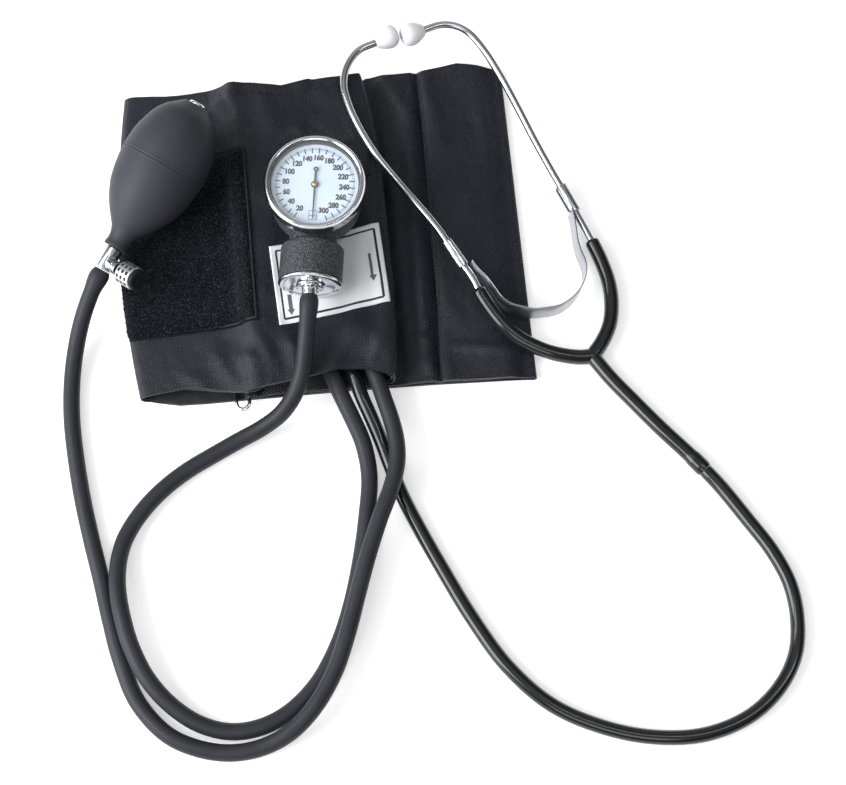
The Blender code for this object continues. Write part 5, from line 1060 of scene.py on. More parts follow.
# %% Needle, knob and cap
KNOB_START, KNOB_END, KNOB_RADIUS = 0.0120, 0.0212, 0.0057
KNOB_GROOVES = 12
KNOB_GROOVE = 0.0008
KNOB_BAND = 0.0015
KNOB_ROWS = 3
SOCKET = 0.0056
CAP_LENGTH, CAP_RADIUS = 0.0015, 0.0051
KNOB = BULB @ TURN_TO_KNOB
stem_bore = NEEDLE_RADIUS + SEAT
rib = (KNOB_END - KNOB_START - KNOB_ROWS * KNOB_BAND) / (KNOB_ROWS + 1)
edge = KNOB_GROOVE * 0.6
knob_outline = [(stem_bore, KNOB_START), (KNOB_RADIUS - edge, KNOB_START), (KNOB_RADIUS, KNOB_START + edge),
                (KNOB_RADIUS, KNOB_END - edge), (KNOB_RADIUS - edge, KNOB_END), (0, KNOB_END),
                (0, KNOB_START + SOCKET + SEAT), (stem_bore, KNOB_START + SOCKET + SEAT)]
cuts = []
half = math.pi * KNOB_RADIUS / KNOB_GROOVES * 0.60
for row in range(KNOB_ROWS):
    low = KNOB_START + rib + row * (KNOB_BAND + rib)
    for groove in range(KNOB_GROOVES):
        box = slab(rectangle(KNOB_RADIUS - KNOB_GROOVE, -half, KNOB_RADIUS + 0.001, half), low, low + KNOB_BAND)
        cuts.append(turned(box, Matrix.Rotation(math.tau * groove / KNOB_GROOVES, 4, "Z")))
knob = cut_out(lathe(soften(knob_outline, 0.00025, 3, closed=True), 96, closed=True), [joined(*cuts)])
publish("knob_sleeve", knob, knob_metal, body="knob", stands_for=("valve_knob",), where=KNOB, sharp=35)
core_outline = [(stem_bore + 0.001, KNOB_START + rib * 0.5), (KNOB_RADIUS - KNOB_GROOVE * 0.75, KNOB_START + rib * 0.5),
                (KNOB_RADIUS - KNOB_GROOVE * 0.75, KNOB_END - rib * 0.5), (stem_bore + 0.001, KNOB_END - rib * 0.5)]
publish("knob_core", lathe(core_outline, 64, closed=True), seal_rubber, body="knob", where=KNOB)
base = KNOB_END + SEAT
cap_outline = soften([(0, base), (CAP_RADIUS, base), (CAP_RADIUS, base + CAP_LENGTH * 0.5),
                      (CAP_RADIUS * 0.86, base + CAP_LENGTH), (0, base + CAP_LENGTH)], 0.0009, 5)
publish("knob_end_cap", lathe(cap_outline, 64), seal_rubber, body="knob", stands_for=("knob_cap",),
        where=KNOB, sharp=60)

# %% [markdown]
# ## Cuff cloth
# The cuff is black polyester twill outside and a coated lining inside, folded over itself like a wallet. Twill
# shows as fine diagonal ribs made of dots, about one millimetre apart. The ribs follow the cloth round its
# folds, so the pattern is laid out in metres along the cloth, on a UV map, and not in the room's space.

# %% Cloth finishes
def weave_height(tree, where, rib, dot):
    """Twill: diagonal ribs, each broken into dots."""
    ribs = add_node(tree, "TexWave", {"bands_direction": "DIAGONAL"}, Vector=where, Scale=0.444 / rib,
                    Distortion=0.4, Detail=0).outputs["Fac"]
    dots = add_node(tree, "TexWave", {"bands_direction": "X"}, Vector=where, Scale=0.314 / dot,
                    Distortion=0.3, Detail=0).outputs["Fac"]
    broken = between(tree, dots, 0.55, 1.0)
    return add_node(tree, "Math", {"operation": "MULTIPLY"}, _0=ribs, _1=broken).outputs[0]


def cloth_finish(name, dark, light, roughness, rib=0.00115, dot=0.0015, depth=0.00024, sheen=0.07):
    made, tree, shader = start_finish(name, dark, roughness, Sheen_Weight=sheen, Sheen_Roughness=0.4,
                                      Sheen_Tint=(0.62, 0.68, 0.80, 1), Specular_IOR_Level=0.36)
    where = add_node(tree, "UVMap", {"uv_map": "cloth"}).outputs["UV"]
    height = weave_height(tree, where, rib, dot)
    lint = blotches(tree, 1400, 3)
    cloudy = blotches(tree, 28, 3)
    # The raised threads of the weave are painted lighter, a painted highlight on the thread tops; the lint adds tone
    # that differs at random.
    thread_highlight_and_lint = add_node(tree, "Math", {"operation": "MULTIPLY_ADD"}, _0=height, _1=0.75,
                    _2=between(tree, lint, -0.22, 0.30, 0.3, 0.7)).outputs[0]
    base = two_tone(tree, thread_highlight_and_lint, dark, light)
    worn = add_node(tree, "Mix", {"data_type": "RGBA", "blend_type": "MULTIPLY"}, _0=0.5, _6=base,
                    _7=two_tone(tree, cloudy, (0.62, 0.62, 0.64), (1.0, 1.0, 1.0))).outputs[2]
    tree.links.new(worn, shader.inputs["Base Color"])
    tree.links.new(between(tree, height, roughness + 0.05, roughness - 0.12), shader.inputs["Roughness"])
    under = raise_surface(tree, shader, blotches(tree, 130, 3), 0.0012, 0.7)
    under = raise_surface(tree, shader, height, depth, 0.9, under)
    raise_surface(tree, shader, lint, depth * 0.5, 0.5, under)
    return made


twill = cloth_finish("black_twill", (0.001, 0.002, 0.005), (0.032, 0.037, 0.055), 0.50)
lining = cloth_finish("coated_lining", (0.010, 0.011, 0.013), (0.022, 0.024, 0.028), 0.55, 0.0006, 0.0006, 0.00008)
webbing = cloth_finish("ribbed_webbing", (0.005, 0.006, 0.008), (0.020, 0.022, 0.028), 0.55, 0.0008, 0.0007)
thread = cloth_finish("black_thread", (0.010, 0.011, 0.015), (0.036, 0.039, 0.050), 0.5, 0.0003, 0.0003, 0.00005)

pile, tree, shader = start_finish("loop_pile", (0.008, 0.009, 0.011), 0.8, Sheen_Weight=0.12, Sheen_Roughness=0.4,
                                  Sheen_Tint=(0.6, 0.66, 0.78, 1), Specular_IOR_Level=0.12)
tufts = blotches(tree, 1250, 3, roughness=0.65)
# The light specks in the pile's colour are painted glints on the loop tips.
painted_glints = between(tree, tufts, 0, 1, 0.54, 0.70)
tree.links.new(two_tone(tree, painted_glints, (0.001, 0.001, 0.003), (0.060, 0.066, 0.086)), shader.inputs["Base Color"])
raise_surface(tree, shader, tufts, 0.0012, 1.0)

satin, tree, shader = start_finish("label_satin", (0.80, 0.82, 0.86), 0.42, Sheen_Weight=0.2)
where = add_node(tree, "UVMap", {"uv_map": "cloth"}).outputs["UV"]
threads = weave_height(tree, where, 0.0006, 0.0006)
soft = blotches(tree, 60, 3)
tree.links.new(two_tone(tree, soft, (0.80, 0.82, 0.87), (0.88, 0.89, 0.92)), shader.inputs["Base Color"])
raise_surface(tree, shader, threads, 0.00006, 0.5)

# %% [markdown]
# ## The shape of the folded cuff
# The folded cloth is one long path seen from the side: from the wire ring, up round the hoses, back over the
# bladder, down round the left fold, along the table, round the right fold and back. The path's knots are the
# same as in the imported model. Each knot also says how wide the cloth is there and how far its middle bows.

# %% Cuff sizes and knots
CUFF = Matrix.Rotation(math.radians(5.5), 4, "Z")
CLOTH = 0.0008
CUFF_HALF = 0.0810
LEFT_FOLD = 0.0042
RIGHT_FOLD = 0.00165
LEFT_BOW, TOP_BOW, TOP_LEAN = 0.0064, 0.0038, 0.0025
LEFT_CENTRE = -0.0960 + LEFT_FOLD + CLOTH / 2
RIGHT_CENTRE = 0.0930 - RIGHT_FOLD - CLOTH / 2
TOP_FOLD_START, TOP_FOLD_DEPTH = 0.0205, 0.0037
LINING_BACK = 0.0035
BLADDER_START, BLADDER_END, BLADDER_LOW, BLADDER_HIGH = -0.0370, 0.0170, -0.0700, 0.0720
HOOK_PAD_START = -0.0240
PITCH = CLOTH + SEAT
FLOOR_OUTER, FLOOR_INNER = CLOTH / 2, CLOTH / 2 + PITCH
RETURN_INNER, RETURN_OUTER = FLOOR_INNER + PITCH, FLOOR_INNER + 2 * PITCH
UNDER_OUTER, UNDER_INNER = 0.0060, 0.0071
OVER_INNER, OVER_OUTER = 0.0165, 0.0199
LEFT_LEVEL = FLOOR_OUTER + LEFT_FOLD
RIGHT_LEVEL = FLOOR_OUTER + RIGHT_FOLD
RING_ALONG, RING_LEVEL = -0.0451, 0.0042
RING_SLEEVE = 0.0018 / 2 + SEAT + CLOTH / 2
PILE_WIDTH = BLADDER_START - SEAT * 10 - LEFT_CENTRE
PILE_RISE = OVER_OUTER - LEFT_LEVEL - LEFT_FOLD
OUTER_RISE = [(0.32, 0.12), (0.61, 0.26), (0.80, 0.40), (0.88, 0.56), (0.94, 0.86), (1, 1)]
INNER_RISE = [(0.32, 0.02), (0.61, 0.16), (0.80, 0.29), (0.88, 0.40), (0.94, 0.54), (0.99, 0.64)]
OUTER_FOLD = [(0.72, 0.95), (0.97, 0.77), (1, 0.5), (0.95, 0.24), (0.62, 0.058), (-0.1, 0)]
INNER_FOLD = [(-0.05, 0.93), (0.54, 0.72), (0.65, 0.47), (0.54, 0.22), (-0.03, 0.04)]
TOP_LOWS = [-0.91, -0.95, -0.97, -0.975, -0.975, -0.975]
TOP_HIGHS = [0.995, 0.985, 0.98, 0.98, 0.98, 0.98]


def knot(along, level, low=-1, high=1, left=0, top=0):
    return Vector((along, level, 0)), (low, high, left, top)


def arc(along, level, radius, start, end, steps, **values):
    angles = [math.radians(start + (end - start) * step / steps) for step in range(steps + 1)]
    return [knot(along + radius * math.cos(a), level + radius * math.sin(a), **values) for a in angles]


def top_layer(rises):
    made = []
    for (along, rise), low, high in reversed(list(zip(rises, TOP_LOWS, TOP_HIGHS))):
        made.append(knot(LEFT_CENTRE + along * PILE_WIDTH, LEFT_LEVEL + LEFT_FOLD + rise * PILE_RISE, low, high,
                         left=max(0, 1 - along / 0.61)))
    return made


def floor_layer(level):
    edge = LEFT_CENTRE + PILE_WIDTH / 2
    return [knot((LEFT_CENTRE + edge) / 2, level, -0.97, 1, left=0.5), knot(edge, level, -0.975, 0.98),
            knot(0, level, -0.975, 0.98), knot(RIGHT_CENTRE / 2, level, -0.985, 1.02)]


def return_layer(level):
    return [knot(RIGHT_CENTRE * 0.78, level, -1, 1.065), knot(RIGHT_CENTRE / 2, level, -0.985, 1.02),
            knot(RIGHT_CENTRE / 4, level, -0.98, 0.99), knot(-0.0270, level, -0.97, 0.97)]


# %% Paths of the outer cloth and of the lining
outer_knots = [knot(RING_ALONG + RING_SLEEVE * 2.4, RING_LEVEL + RING_SLEEVE, -0.975, 0.877),
               knot(RING_ALONG + RING_SLEEVE, RING_LEVEL + RING_SLEEVE, -0.975, 0.877)]
outer_knots += arc(RING_ALONG, RING_LEVEL, RING_SLEEVE, 90, 270, 6, low=-0.975, high=0.877)
climb = UNDER_OUTER - RING_LEVEL + RING_SLEEVE
outer_knots += [knot(RING_ALONG + RING_SLEEVE * along, RING_LEVEL - RING_SLEEVE + rise * climb, -0.975, high)
                for along, rise, high in ((1.2, 0.02, 0.88), (3.8, 0.33, 0.91), (7.6, 0.82, 0.96))]
outer_knots += [knot(HOOK_PAD_START, UNDER_OUTER, -0.975, 0.98),
                knot((HOOK_PAD_START + TOP_FOLD_START) / 2, UNDER_OUTER, -0.975, 0.98, top=0.2)]
outer_knots += [knot(TOP_FOLD_START + depth * TOP_FOLD_DEPTH, UNDER_OUTER + rise * (OVER_OUTER - UNDER_OUTER),
                     -0.975, 0.98, top=1) for depth, rise in reversed(OUTER_FOLD)]
outer_knots += [knot(TOP_FOLD_START, OVER_OUTER, -0.975, 0.98, top=1),
                knot(TOP_FOLD_START - LINING_BACK, OVER_OUTER, -0.97, 0.98, top=0.9),
                knot(0, OVER_OUTER, -0.955, 0.975, top=0.2)]
top_knots = [knot(BLADDER_START, OVER_OUTER, -0.97, 0.98)] + top_layer(OUTER_RISE)
top_knots += arc(LEFT_CENTRE, LEFT_LEVEL, LEFT_FOLD, 90, 270, 6, low=-0.93, high=1.01, left=1)
outer_knots += top_knots + floor_layer(FLOOR_OUTER)
outer_knots += arc(RIGHT_CENTRE, RIGHT_LEVEL, RIGHT_FOLD, -90, 90, 5, low=-1.01, high=1.01)
outer_knots += return_layer(RETURN_OUTER)

inner_knots = [knot(HOOK_PAD_START, UNDER_INNER, -0.965, 0.97), knot(0, UNDER_INNER, -0.965, 0.97, top=0.3),
               knot(TOP_FOLD_START - LINING_BACK, UNDER_INNER, -0.965, 0.97, top=0.9)]
inner_knots += [knot(TOP_FOLD_START + depth * TOP_FOLD_DEPTH, UNDER_INNER + rise * (OVER_INNER - UNDER_INNER),
                     -0.965, 0.97, top=1) for depth, rise in reversed(INNER_FOLD)]
inner_knots += [knot(TOP_FOLD_START - LINING_BACK, OVER_INNER, -0.96, 0.97, top=0.9),
                knot(0, OVER_INNER, -0.945, 0.965, top=0.2), knot(BLADDER_START, OVER_INNER, -0.96, 0.97)]
inner_knots += top_layer(INNER_RISE)
inner_knots += arc(LEFT_CENTRE, LEFT_LEVEL, LEFT_FOLD - PITCH, 90, 270, 6, low=-0.92, high=1, left=1)
inner_knots += floor_layer(FLOOR_INNER)
inner_knots += arc(RIGHT_CENTRE, RIGHT_LEVEL, RIGHT_FOLD - PITCH, -90, 90, 4, low=-1, high=1)
inner_knots += return_layer(RETURN_INNER)


def smooth_rows(knots, step):
    """Points on a smooth path through knots, with the knots' other values blended between."""
    places = [place for place, _ in knots]
    found = [(places[0], list(knots[0][1]))]
    padded = [2 * places[0] - places[1], *places, 2 * places[-1] - places[-2]]
    for place in range(len(places) - 1):
        around = padded[place:place + 4]
        span = knot_spans(around)
        pieces = max(2, math.ceil((around[2] - around[1]).length / step))
        for piece in range(1, pieces + 1):
            share = piece / pieces
            point = curve_point(around, span, span[1] + (span[2] - span[1]) * share)
            for axis in (0, 1):
                ends = sorted((around[1][axis], around[2][axis]))
                point[axis] = min(max(point[axis], ends[0]), ends[1])
            found.append((point, [a + (b - a) * share for a, b in zip(knots[place][1], knots[place + 1][1])]))
    return found


# %% [markdown]
# ## Creases
# Real cloth never lies flat. Simulating it would lose the photographed creases, so they are listed one by one:
# each is a soft ridge between two points, with a width and a height, in millimetres along and across the
# cuff. The cloth is only ever raised. It stays flat under the gauge, the bulb and the webbing, and low where the
# left ear tube lies and swings.

# %% Listed creases
TOP_CREASES = [
    (-43.5, 79, -51, 62, 6.0, 2.0), (-1, 76, 10.5, 61.5, 3.0, 2.6), (-10, 51, 15, 60, 3.2, 2.0),
    (-27, 72, -22, 54, 6.0, 1.2), (3, 79, 14, 66, 2.4, 1.2), (-92, -48, -86, -66, 5.0, 1.2),
    (-77, -64, -64, -77, 3.5, 1.8), (-90, -60, -78, -76, 3.0, 1.2), (-48, -62, -40, -66, 4.0, 1.2),
    (-39, -50, -31, -70, 3.6, 1.1), (-23, -52, -20, -74, 4.2, 1.8), (2, -54, 16, -60, 8.0, 1.8),
    (-6, -76, 6, -62, 3.0, 1.0), (21, 40, 22.5, -70, 3.5, 0.7),
    (14, -74, 20, -62, 2.6, 1.0), (-60, -56, -52, -74, 3.6, 1.0)]
PANEL_CREASES = [
    (43, 60, 43, 20, 3.8, 2.2), (42.5, 16, 41.2, -72, 3.8, 3.0), (36, -49, 47, -50.5, 1.8, 1.1),
    (35, -57, 47.5, -62, 2.0, 1.0), (70, -30, 72, 52, 13.0, 1.4), (56, -63, 86, -68, 2.2, 1.1),
    (34, 78, 46, 58, 3.6, 1.5), (54, 78, 60, 40, 4.0, 0.9), (80, 76, 86, 30, 5.0, 0.8), (52, -30, 60, -56, 4.0, 0.7)]
KEEP_FLAT = [(-4.5, 7.3, -11.4, -39, 14, 24), (-102.8, -4.2, -56.5, 58.6, 9, 18), (13, 84, 31, 44, 4, 9),
             (-8, 33, 20, 33, 10.5, 17)]
TOP_EDGE = [(-97, 1.8), (-86, -1.0), (-76, -2.8), (-60, -0.6), (-45, 0.0), (-32, -1.2), (-17, -4.0), (-4, -1.6),
            (8, -1.2), (20, -0.4), (26, 0)]
LOW_EDGE = [(-97, 0), (-70, 1.2), (-42, -1.4), (-15, 1.0), (0, 3.0), (13, 2.6), (24, -0.6), (26, 0)]
PANEL_EDGE = [(20, 3.2), (30, 2.8), (40, 1.4), (50, 0.2), (90, 0)]
SEAM_LINE = [(86, 50.2), (56, 50.4), (22, 50.0), (-20, 49.3), (-52, 48.4), (-82, 46.7)]
# Where the left ear tube swings: its hinge, its range in degrees, and by distance from the hinge the direction of
# the tube at rest and the room under it, all in millimetres and degrees
PIVOT = Vector((68.7, -38.6))
SWING = 10
SWING_FADE = 3, 9
SWING_BEARING = [(60, 120.8), (77, 121.0), (101, 119.7), (112, 118.5), (121, 117.1), (127, 115.5), (131.6, 113.4),
                 (136.6, 109.7), (140, 107)]
SWING_ROOM = [(60, 0.7), (66, 0.95), (72, 1.2), (76, 1.35), (115, 1.35), (121, 1.3), (126.5, 1.15), (129.3, 1.0),
              (131.6, 0.85), (133.6, 0.67), (135.4, 0.46), (136.6, 0.3), (140, 0.2)]
MM = 0.001


def ease(value, start, end):
    share = min(1, max(0, (value - start) / (end - start)))
    return share * share * (3 - 2 * share)


def read_line(line, at):
    """A value between the points of a listed line."""
    for (x0, y0), (x1, y1) in zip(line, line[1:]):
        if min(x0, x1) <= at <= max(x0, x1):
            return y0 + (y1 - y0) * (at - x0) / (x1 - x0)
    return line[0][1] if abs(at - line[0][0]) < abs(at - line[-1][0]) else line[-1][1]


def off_segment(x, y, x0, y0, x1, y1):
    """Distance from a segment, and how far along it the nearest place lies."""
    dx, dy = x1 - x0, y1 - y0
    share = min(1, max(0, ((x - x0) * dx + (y - y0) * dy) / (dx * dx + dy * dy)))
    return math.hypot(x - x0 - share * dx, y - y0 - share * dy), share


def crease_sum(creases, x, y):
    total = 0
    for x0, y0, x1, y1, width, height in creases:
        off, share = off_segment(x, y, x0, y0, x1, y1)
        if off < 3 * width:
            total += height * math.exp(-(off / width) ** 2) * (0.55 + 0.45 * math.sin(math.pi * share))
    return total


def ripple(x, y, size, seed):
    return 0.5 + 0.5 * noise.noise(Vector((x / size, y / size, seed)))


def top_relief(x, y):
    """How far the top layer is raised, in millimetres, at a place of the cuff in millimetres."""
    flat = 1
    for x0, y0, x1, y1, near, far in KEEP_FLAT:
        flat *= ease(off_segment(x, y, x0, y0, x1, y1)[0], near, far)
    raised = flat * (1.5 * crease_sum(TOP_CREASES, x, y) + 2.6 * ripple(x, y, 19, 3) + 0.5 * ripple(x, y, 6, 8))
    reach, bearing = math.hypot(x - PIVOT.x, y - PIVOT.y), math.degrees(math.atan2(y - PIVOT.y, x - PIVOT.x))
    rest = read_line(SWING_BEARING, reach)
    off = math.radians(max(rest - bearing, bearing - rest - SWING, 0)) * reach
    room = read_line(SWING_ROOM, reach)
    under = 1 - ease(off, *SWING_FADE)
    return raised + under * (room * (1 - math.exp(-raised / room)) - raised)


def panel_relief(x, y):
    """How far the right panel is raised, with a lap of cloth on each side of its seam."""
    seam = abs(x - read_line(SEAM_LINE, y))
    open_part = ease(x, 27, 34) * (1 - ease(x, 80, 89))
    raised = 0.8 + 1.4 * crease_sum(PANEL_CREASES, x, y) + 2.8 * ripple(x, y, 21, 5) + 0.4 * ripple(x, y, 6, 9)
    return open_part * (raised * (0.18 + 0.82 * ease(seam, 0.5, 3.0)) + 0.35 * math.exp(-((seam - 1.5) / 0.8) ** 2))


TOP_LEVELS = 0.0085, 0.0145


def settle(along, across, level):
    """Move a point of the cloth where creases and uneven edges take it."""
    x, y = along / MM, across / MM
    on_top = ease(level, *TOP_LEVELS)
    if on_top:
        edge = read_line(TOP_EDGE, x) * ease(y, 45, 80) if y > 0 else read_line(LOW_EDGE, x) * ease(-y, 50, 78)
        return along, across + edge * MM * on_top, level + on_top * MM * top_relief(x, y)
    on_panel = ease(level, 0.0019, 0.0024) * (1 - ease(level, 0.0042, 0.0050)) * ease(x, 19, 25)
    if on_panel:
        edge = read_line(PANEL_EDGE, x) * ease(y, 50, 80) if y > 0 else 0
        return along, across + edge * MM * on_panel, level + on_panel * MM * panel_relief(x, y)
    return along, across, level


# %% Cloth from rows
def bowed(across, left, top):
    part = across / CUFF_HALF
    return -left * LEFT_BOW * max(0, 1 - part ** 2) + top * (TOP_BOW * max(0, 1 - part ** 4)
                                                            - TOP_LEAN * max(0, part) ** 2)


def map_cloth(shape, places=None):
    """Lay the UV map: the given (along, across) of each point, or else its own x and y."""
    layer = shape.loops.layers.uv.new("cloth")
    for face in shape.faces:
        for loop in face.loops:
            loop[layer].uv = places[loop.vert] if places else loop.vert.co.xy
    return shape


def close_sheet(shape, grids, places=None):
    """Join a lower and an upper grid of points into a closed sheet with its map."""
    for grid in grids:
        for first, second in zip(grid, grid[1:]):
            bridge(shape, first, second, closed=False)
    lower, upper = grids
    for end in (0, -1):
        bridge(shape, lower[end], upper[end], closed=False)
    for end in (0, -1):
        bridge(shape, [line[end] for line in lower], [line[end] for line in upper], closed=False)
    return map_cloth(shape, places)


def cloth_sheet(rows, thickness, columns, lift=0, edges=None, fuzz=None):
    """A closed sheet of even thickness along rows, with a UV map in metres along and across the cloth."""
    shape = bmesh.new()
    places, grids = {}, []
    points = [point for point, _ in rows]
    for side in (-1, 1):
        grid = []
        for place, ((point, values), run) in enumerate(zip(rows, runs(points))):
            way = way_on(points, place)
            normal = Vector((-way.y, way.x, 0)).normalized()
            low, high = edges(place / (len(rows) - 1)) if edges else (values[0] * CUFF_HALF, values[1] * CUFF_HALF)
            line = []
            for column in range(columns + 1):
                across = low + (high - low) * column / columns
                spread = fuzz(run, across, low, high) if fuzz and side < 0 else 0
                spot = point + normal * (lift + side * thickness / 2 - spread)
                along = spot.x + bowed(across, values[2], values[3])
                line.append(shape.verts.new(settle(along, across, spot.y)))
                places[line[-1]] = (run, across)
            grid.append(line)
        grids.append(grid)
    return close_sheet(shape, grids, places)


CLOTH_STEP = 0.0018
CLOTH_COLUMNS = 84
outer_rows = smooth_rows(outer_knots, CLOTH_STEP)
inner_rows = smooth_rows(inner_knots, CLOTH_STEP)
cuff_outer = publish("cuff_cover", cloth_sheet(outer_rows, CLOTH, CLOTH_COLUMNS), twill,
                     stands_for=("cuff_outer_cloth",), where=CUFF, sharp=55)
cuff_inner = publish("cuff_backing", cloth_sheet(inner_rows, CLOTH, CLOTH_COLUMNS // 2), lining,
                     stands_for=("cuff_inner_cloth",), where=CUFF, sharp=55)

# %% The cuff's top face, for what lies on it
top_rows = [(point, values) for point, values in outer_rows if point.y > UNDER_INNER + CLOTH]


def cuff_top(along, across):
    """The level of the top face at a place of the top layer, creases and all."""
    best = None
    for (start, first), (end, second) in zip(top_rows, top_rows[1:]):
        x0, x1 = start.x + bowed(across, first[2], first[3]), end.x + bowed(across, second[2], second[3])
        if min(x0, x1) <= along <= max(x0, x1) and abs(x1 - x0) > 1e-7:
            level = start.y + (end.y - start.y) * (along - x0) / (x1 - x0)
            steep = min(math.hypot(x1 - x0, end.y - start.y) / abs(x1 - x0), 2.2)
            if best is None or level > best[0]:
                best = (level, steep)
    if best is None:
        last = top_rows[0] if along > 0 else top_rows[-1]
        best = (OVER_OUTER if along > 0 else last[0].y, 1)
    level, steep = best
    return level + CLOTH / 2 * steep + ease(level, *TOP_LEVELS) * MM * top_relief(along / MM, across / MM)


def panel_top(along, across):
    return RETURN_OUTER + CLOTH / 2 + MM * panel_relief(along / MM, across / MM)


# %% [markdown]
# ## Seams, hems and stitches
# A stitch is a short sunken loop of thread, so each is modelled as a small bead that is longer than it is
# wide. Rows of them follow the hems, the pile pad, the webbing and the seam of the right half.

# %% Stitch rows and bands
def walk(spots, surface, gap):
    """Points every gap along a line of (along, across) spots, laid on a surface."""
    found = []
    for (x0, y0), (x1, y1) in zip(spots, spots[1:]):
        pieces = max(1, round(math.hypot(x1 - x0, y1 - y0) / gap))
        for piece in range(pieces + (0 if (x1, y1) != tuple(spots[-1]) else 1)):
            x, y = x0 + (x1 - x0) * piece / pieces, y0 + (y1 - y0) * piece / pieces
            found.append(Vector((x, y, surface(x, y))))
    return found


STITCH_SHAPE = ((0, 0.35), (0.2, 0.9), (0.5, 1), (0.8, 0.9), (1, 0.35))
STITCH_SIDES = 6


def stitch_row(spots, surface, pitch=0.0030, length=0.0021, radius=0.00026):
    """A row of beads, each a little sunk in the surface."""
    points = walk(spots, surface, pitch)
    shape = bmesh.new()
    for here, after in zip(points, points[1:]):
        way = (after - here).normalized()
        side = way.cross(UP).normalized()
        top = side.cross(way)
        start = here + way * (after - here).length * 0.15 + top * radius * 0.35
        skin(shape, [round_ring(shape, start + way * length * share, side, top, radius * reach, STITCH_SIDES)
                     for share, reach in STITCH_SHAPE])
    return shape


def band(spots, surface, width, height, lift=0.0, step=0.0015):
    """A flat ribbon with softened edges along a line on a surface."""
    points = walk(spots, surface, step)
    shape, rings = bmesh.new(), []
    half = width / 2
    section = [(-half, 0), (half, 0), (half, height * 0.6), (half * 0.86, height), (-half * 0.86, height),
               (-half, height * 0.6)]
    for place, point in enumerate(points):
        side = way_on(points, place).normalized().cross(UP).normalized()
        rings.append([shape.verts.new(point + side * x + Vector((0, 0, y + lift))) for x, y in section])
    return map_cloth(skin(shape, rings))


HEM = 0.0042
LOW_HEM_AT = (-88, -76, -64, -52, -40, -28, -16, -6, 2, 10, 18, 22)
HIGH_HEM_AT = (-86, -76, -66, -56, -46, -36, -26, -17, -8, 2, 10, 18)
low_hem = [(x * MM, (-77.6 + read_line(LOW_EDGE, x)) * MM + HEM) for x in LOW_HEM_AT]
high_hem = [(x * MM, (78.2 + read_line(TOP_EDGE, x)) * MM - HEM) for x in HIGH_HEM_AT]
panel_low = [(x * MM, (-77.4 - 0.03 * (x - 28)) * MM) for x in (29, 36, 46, 56, 66, 76, 86)]
panel_high = [(x * MM, (77.2 + read_line(PANEL_EDGE, x) + 0.05 * (x - 30)) * MM) for x in (29, 36, 46, 56, 66, 74)]
seam_left, seam_right = ([((x + off) * MM, y * MM) for y, x in SEAM_LINE[1:-1]] for off in (-1.6, 1.5))
seam_lap = [((x + 1.2) * MM, y * MM) for y, x in [(79, 50.25)] + SEAM_LINE[1:-1] + [(-77.5, 46.9)]]
publish("seam_lap", band(seam_lap, panel_top, 0.0026, 0.0006, -0.0001), twill, where=CUFF)
rows = [stitch_row(line, surface) for line, surface in (
    (low_hem, cuff_top), (high_hem, cuff_top), (panel_low, panel_top), (panel_high, panel_top),
    (seam_left, panel_top), (seam_right, panel_top))]
hem_stitches = publish("hem_stitches", joined(*rows), thread, where=CUFF)

# %% [markdown]
# ## The pile pad
# Half of the touch fastener is a pad of loop pile, sewn on along its edges. Its fuzz is real relief: every point of
# a fine grid is pushed out by noise, which makes the broken outline and the speckle that no flat map gives. Its
# colour also has light specks, which are painted glints.

# %% Pile pad with its sewn border
LOOP_PAD = 0.0014
PAD_END, PAD_LOW, PAD_HIGH_LEFT, PAD_HIGH_RIGHT = -0.0340, -0.0468, 0.0505, 0.0430
pad_rows = [(point, values) for point, values in smooth_rows(top_knots, 0.0007)
            if point.x < PAD_END - 0.0025 and point.y > LEFT_LEVEL + LEFT_FOLD / 2]


def pad_edges(share):
    return PAD_LOW, PAD_HIGH_RIGHT + (PAD_HIGH_LEFT - PAD_HIGH_RIGHT) * share


def pile_fuzz(run, across, low, high):
    """How far a point of the pile stands out: tufts of two sizes, and a sunken edge."""
    inner = ease(min(across - low, high - across, run), 0.0016, 0.0030)
    tuft = abs(noise.noise(Vector((run * 850, across * 850, 2)))) + 0.5 * abs(
        noise.noise(Vector((run * 2100, across * 2100, 6))))
    return inner * (0.0009 * tuft + 0.0001) - 0.0003 * (1 - inner)


pad_shape = cloth_sheet(pad_rows, LOOP_PAD * 0.8, 150, lift=-(CLOTH / 2 + SEAT + LOOP_PAD * 0.4), edges=pad_edges,
                        fuzz=pile_fuzz)
pad_piece = publish("pile_pad", pad_shape, pile, stands_for=("loop_pad",), where=CUFF, sharp=180)


def pad_top(along, across):
    return cuff_top(along, across) + SEAT + LOOP_PAD * 0.62


pad_right = pad_rows[0][0].x
BORDER_IN = 0.0010
border = [(pad_right - 0.045, PAD_HIGH_LEFT - 0.0040), (pad_right - 0.02, PAD_HIGH_RIGHT + 0.0008),
          (pad_right - BORDER_IN, PAD_HIGH_RIGHT - BORDER_IN), (pad_right - BORDER_IN, 0.0),
          (pad_right - BORDER_IN, PAD_LOW + BORDER_IN), (pad_right - 0.025, PAD_LOW + BORDER_IN),
          (pad_right - 0.052, PAD_LOW + BORDER_IN)]
border_runs = (border[:3], border[2:5], border[4:])
edge_band = publish("pile_border", joined(*[band(run, pad_top, 0.0009, 0.0003) for run in border_runs]), thread,
                    where=CUFF)


def on_border(along, across):
    return pad_top(along, across) + 0.0004


pad_stitches = publish("pile_stitches", joined(*[stitch_row(run, on_border, 0.0024, 0.0016, 0.0002)
                                                 for run in border_runs]), thread, where=CUFF)

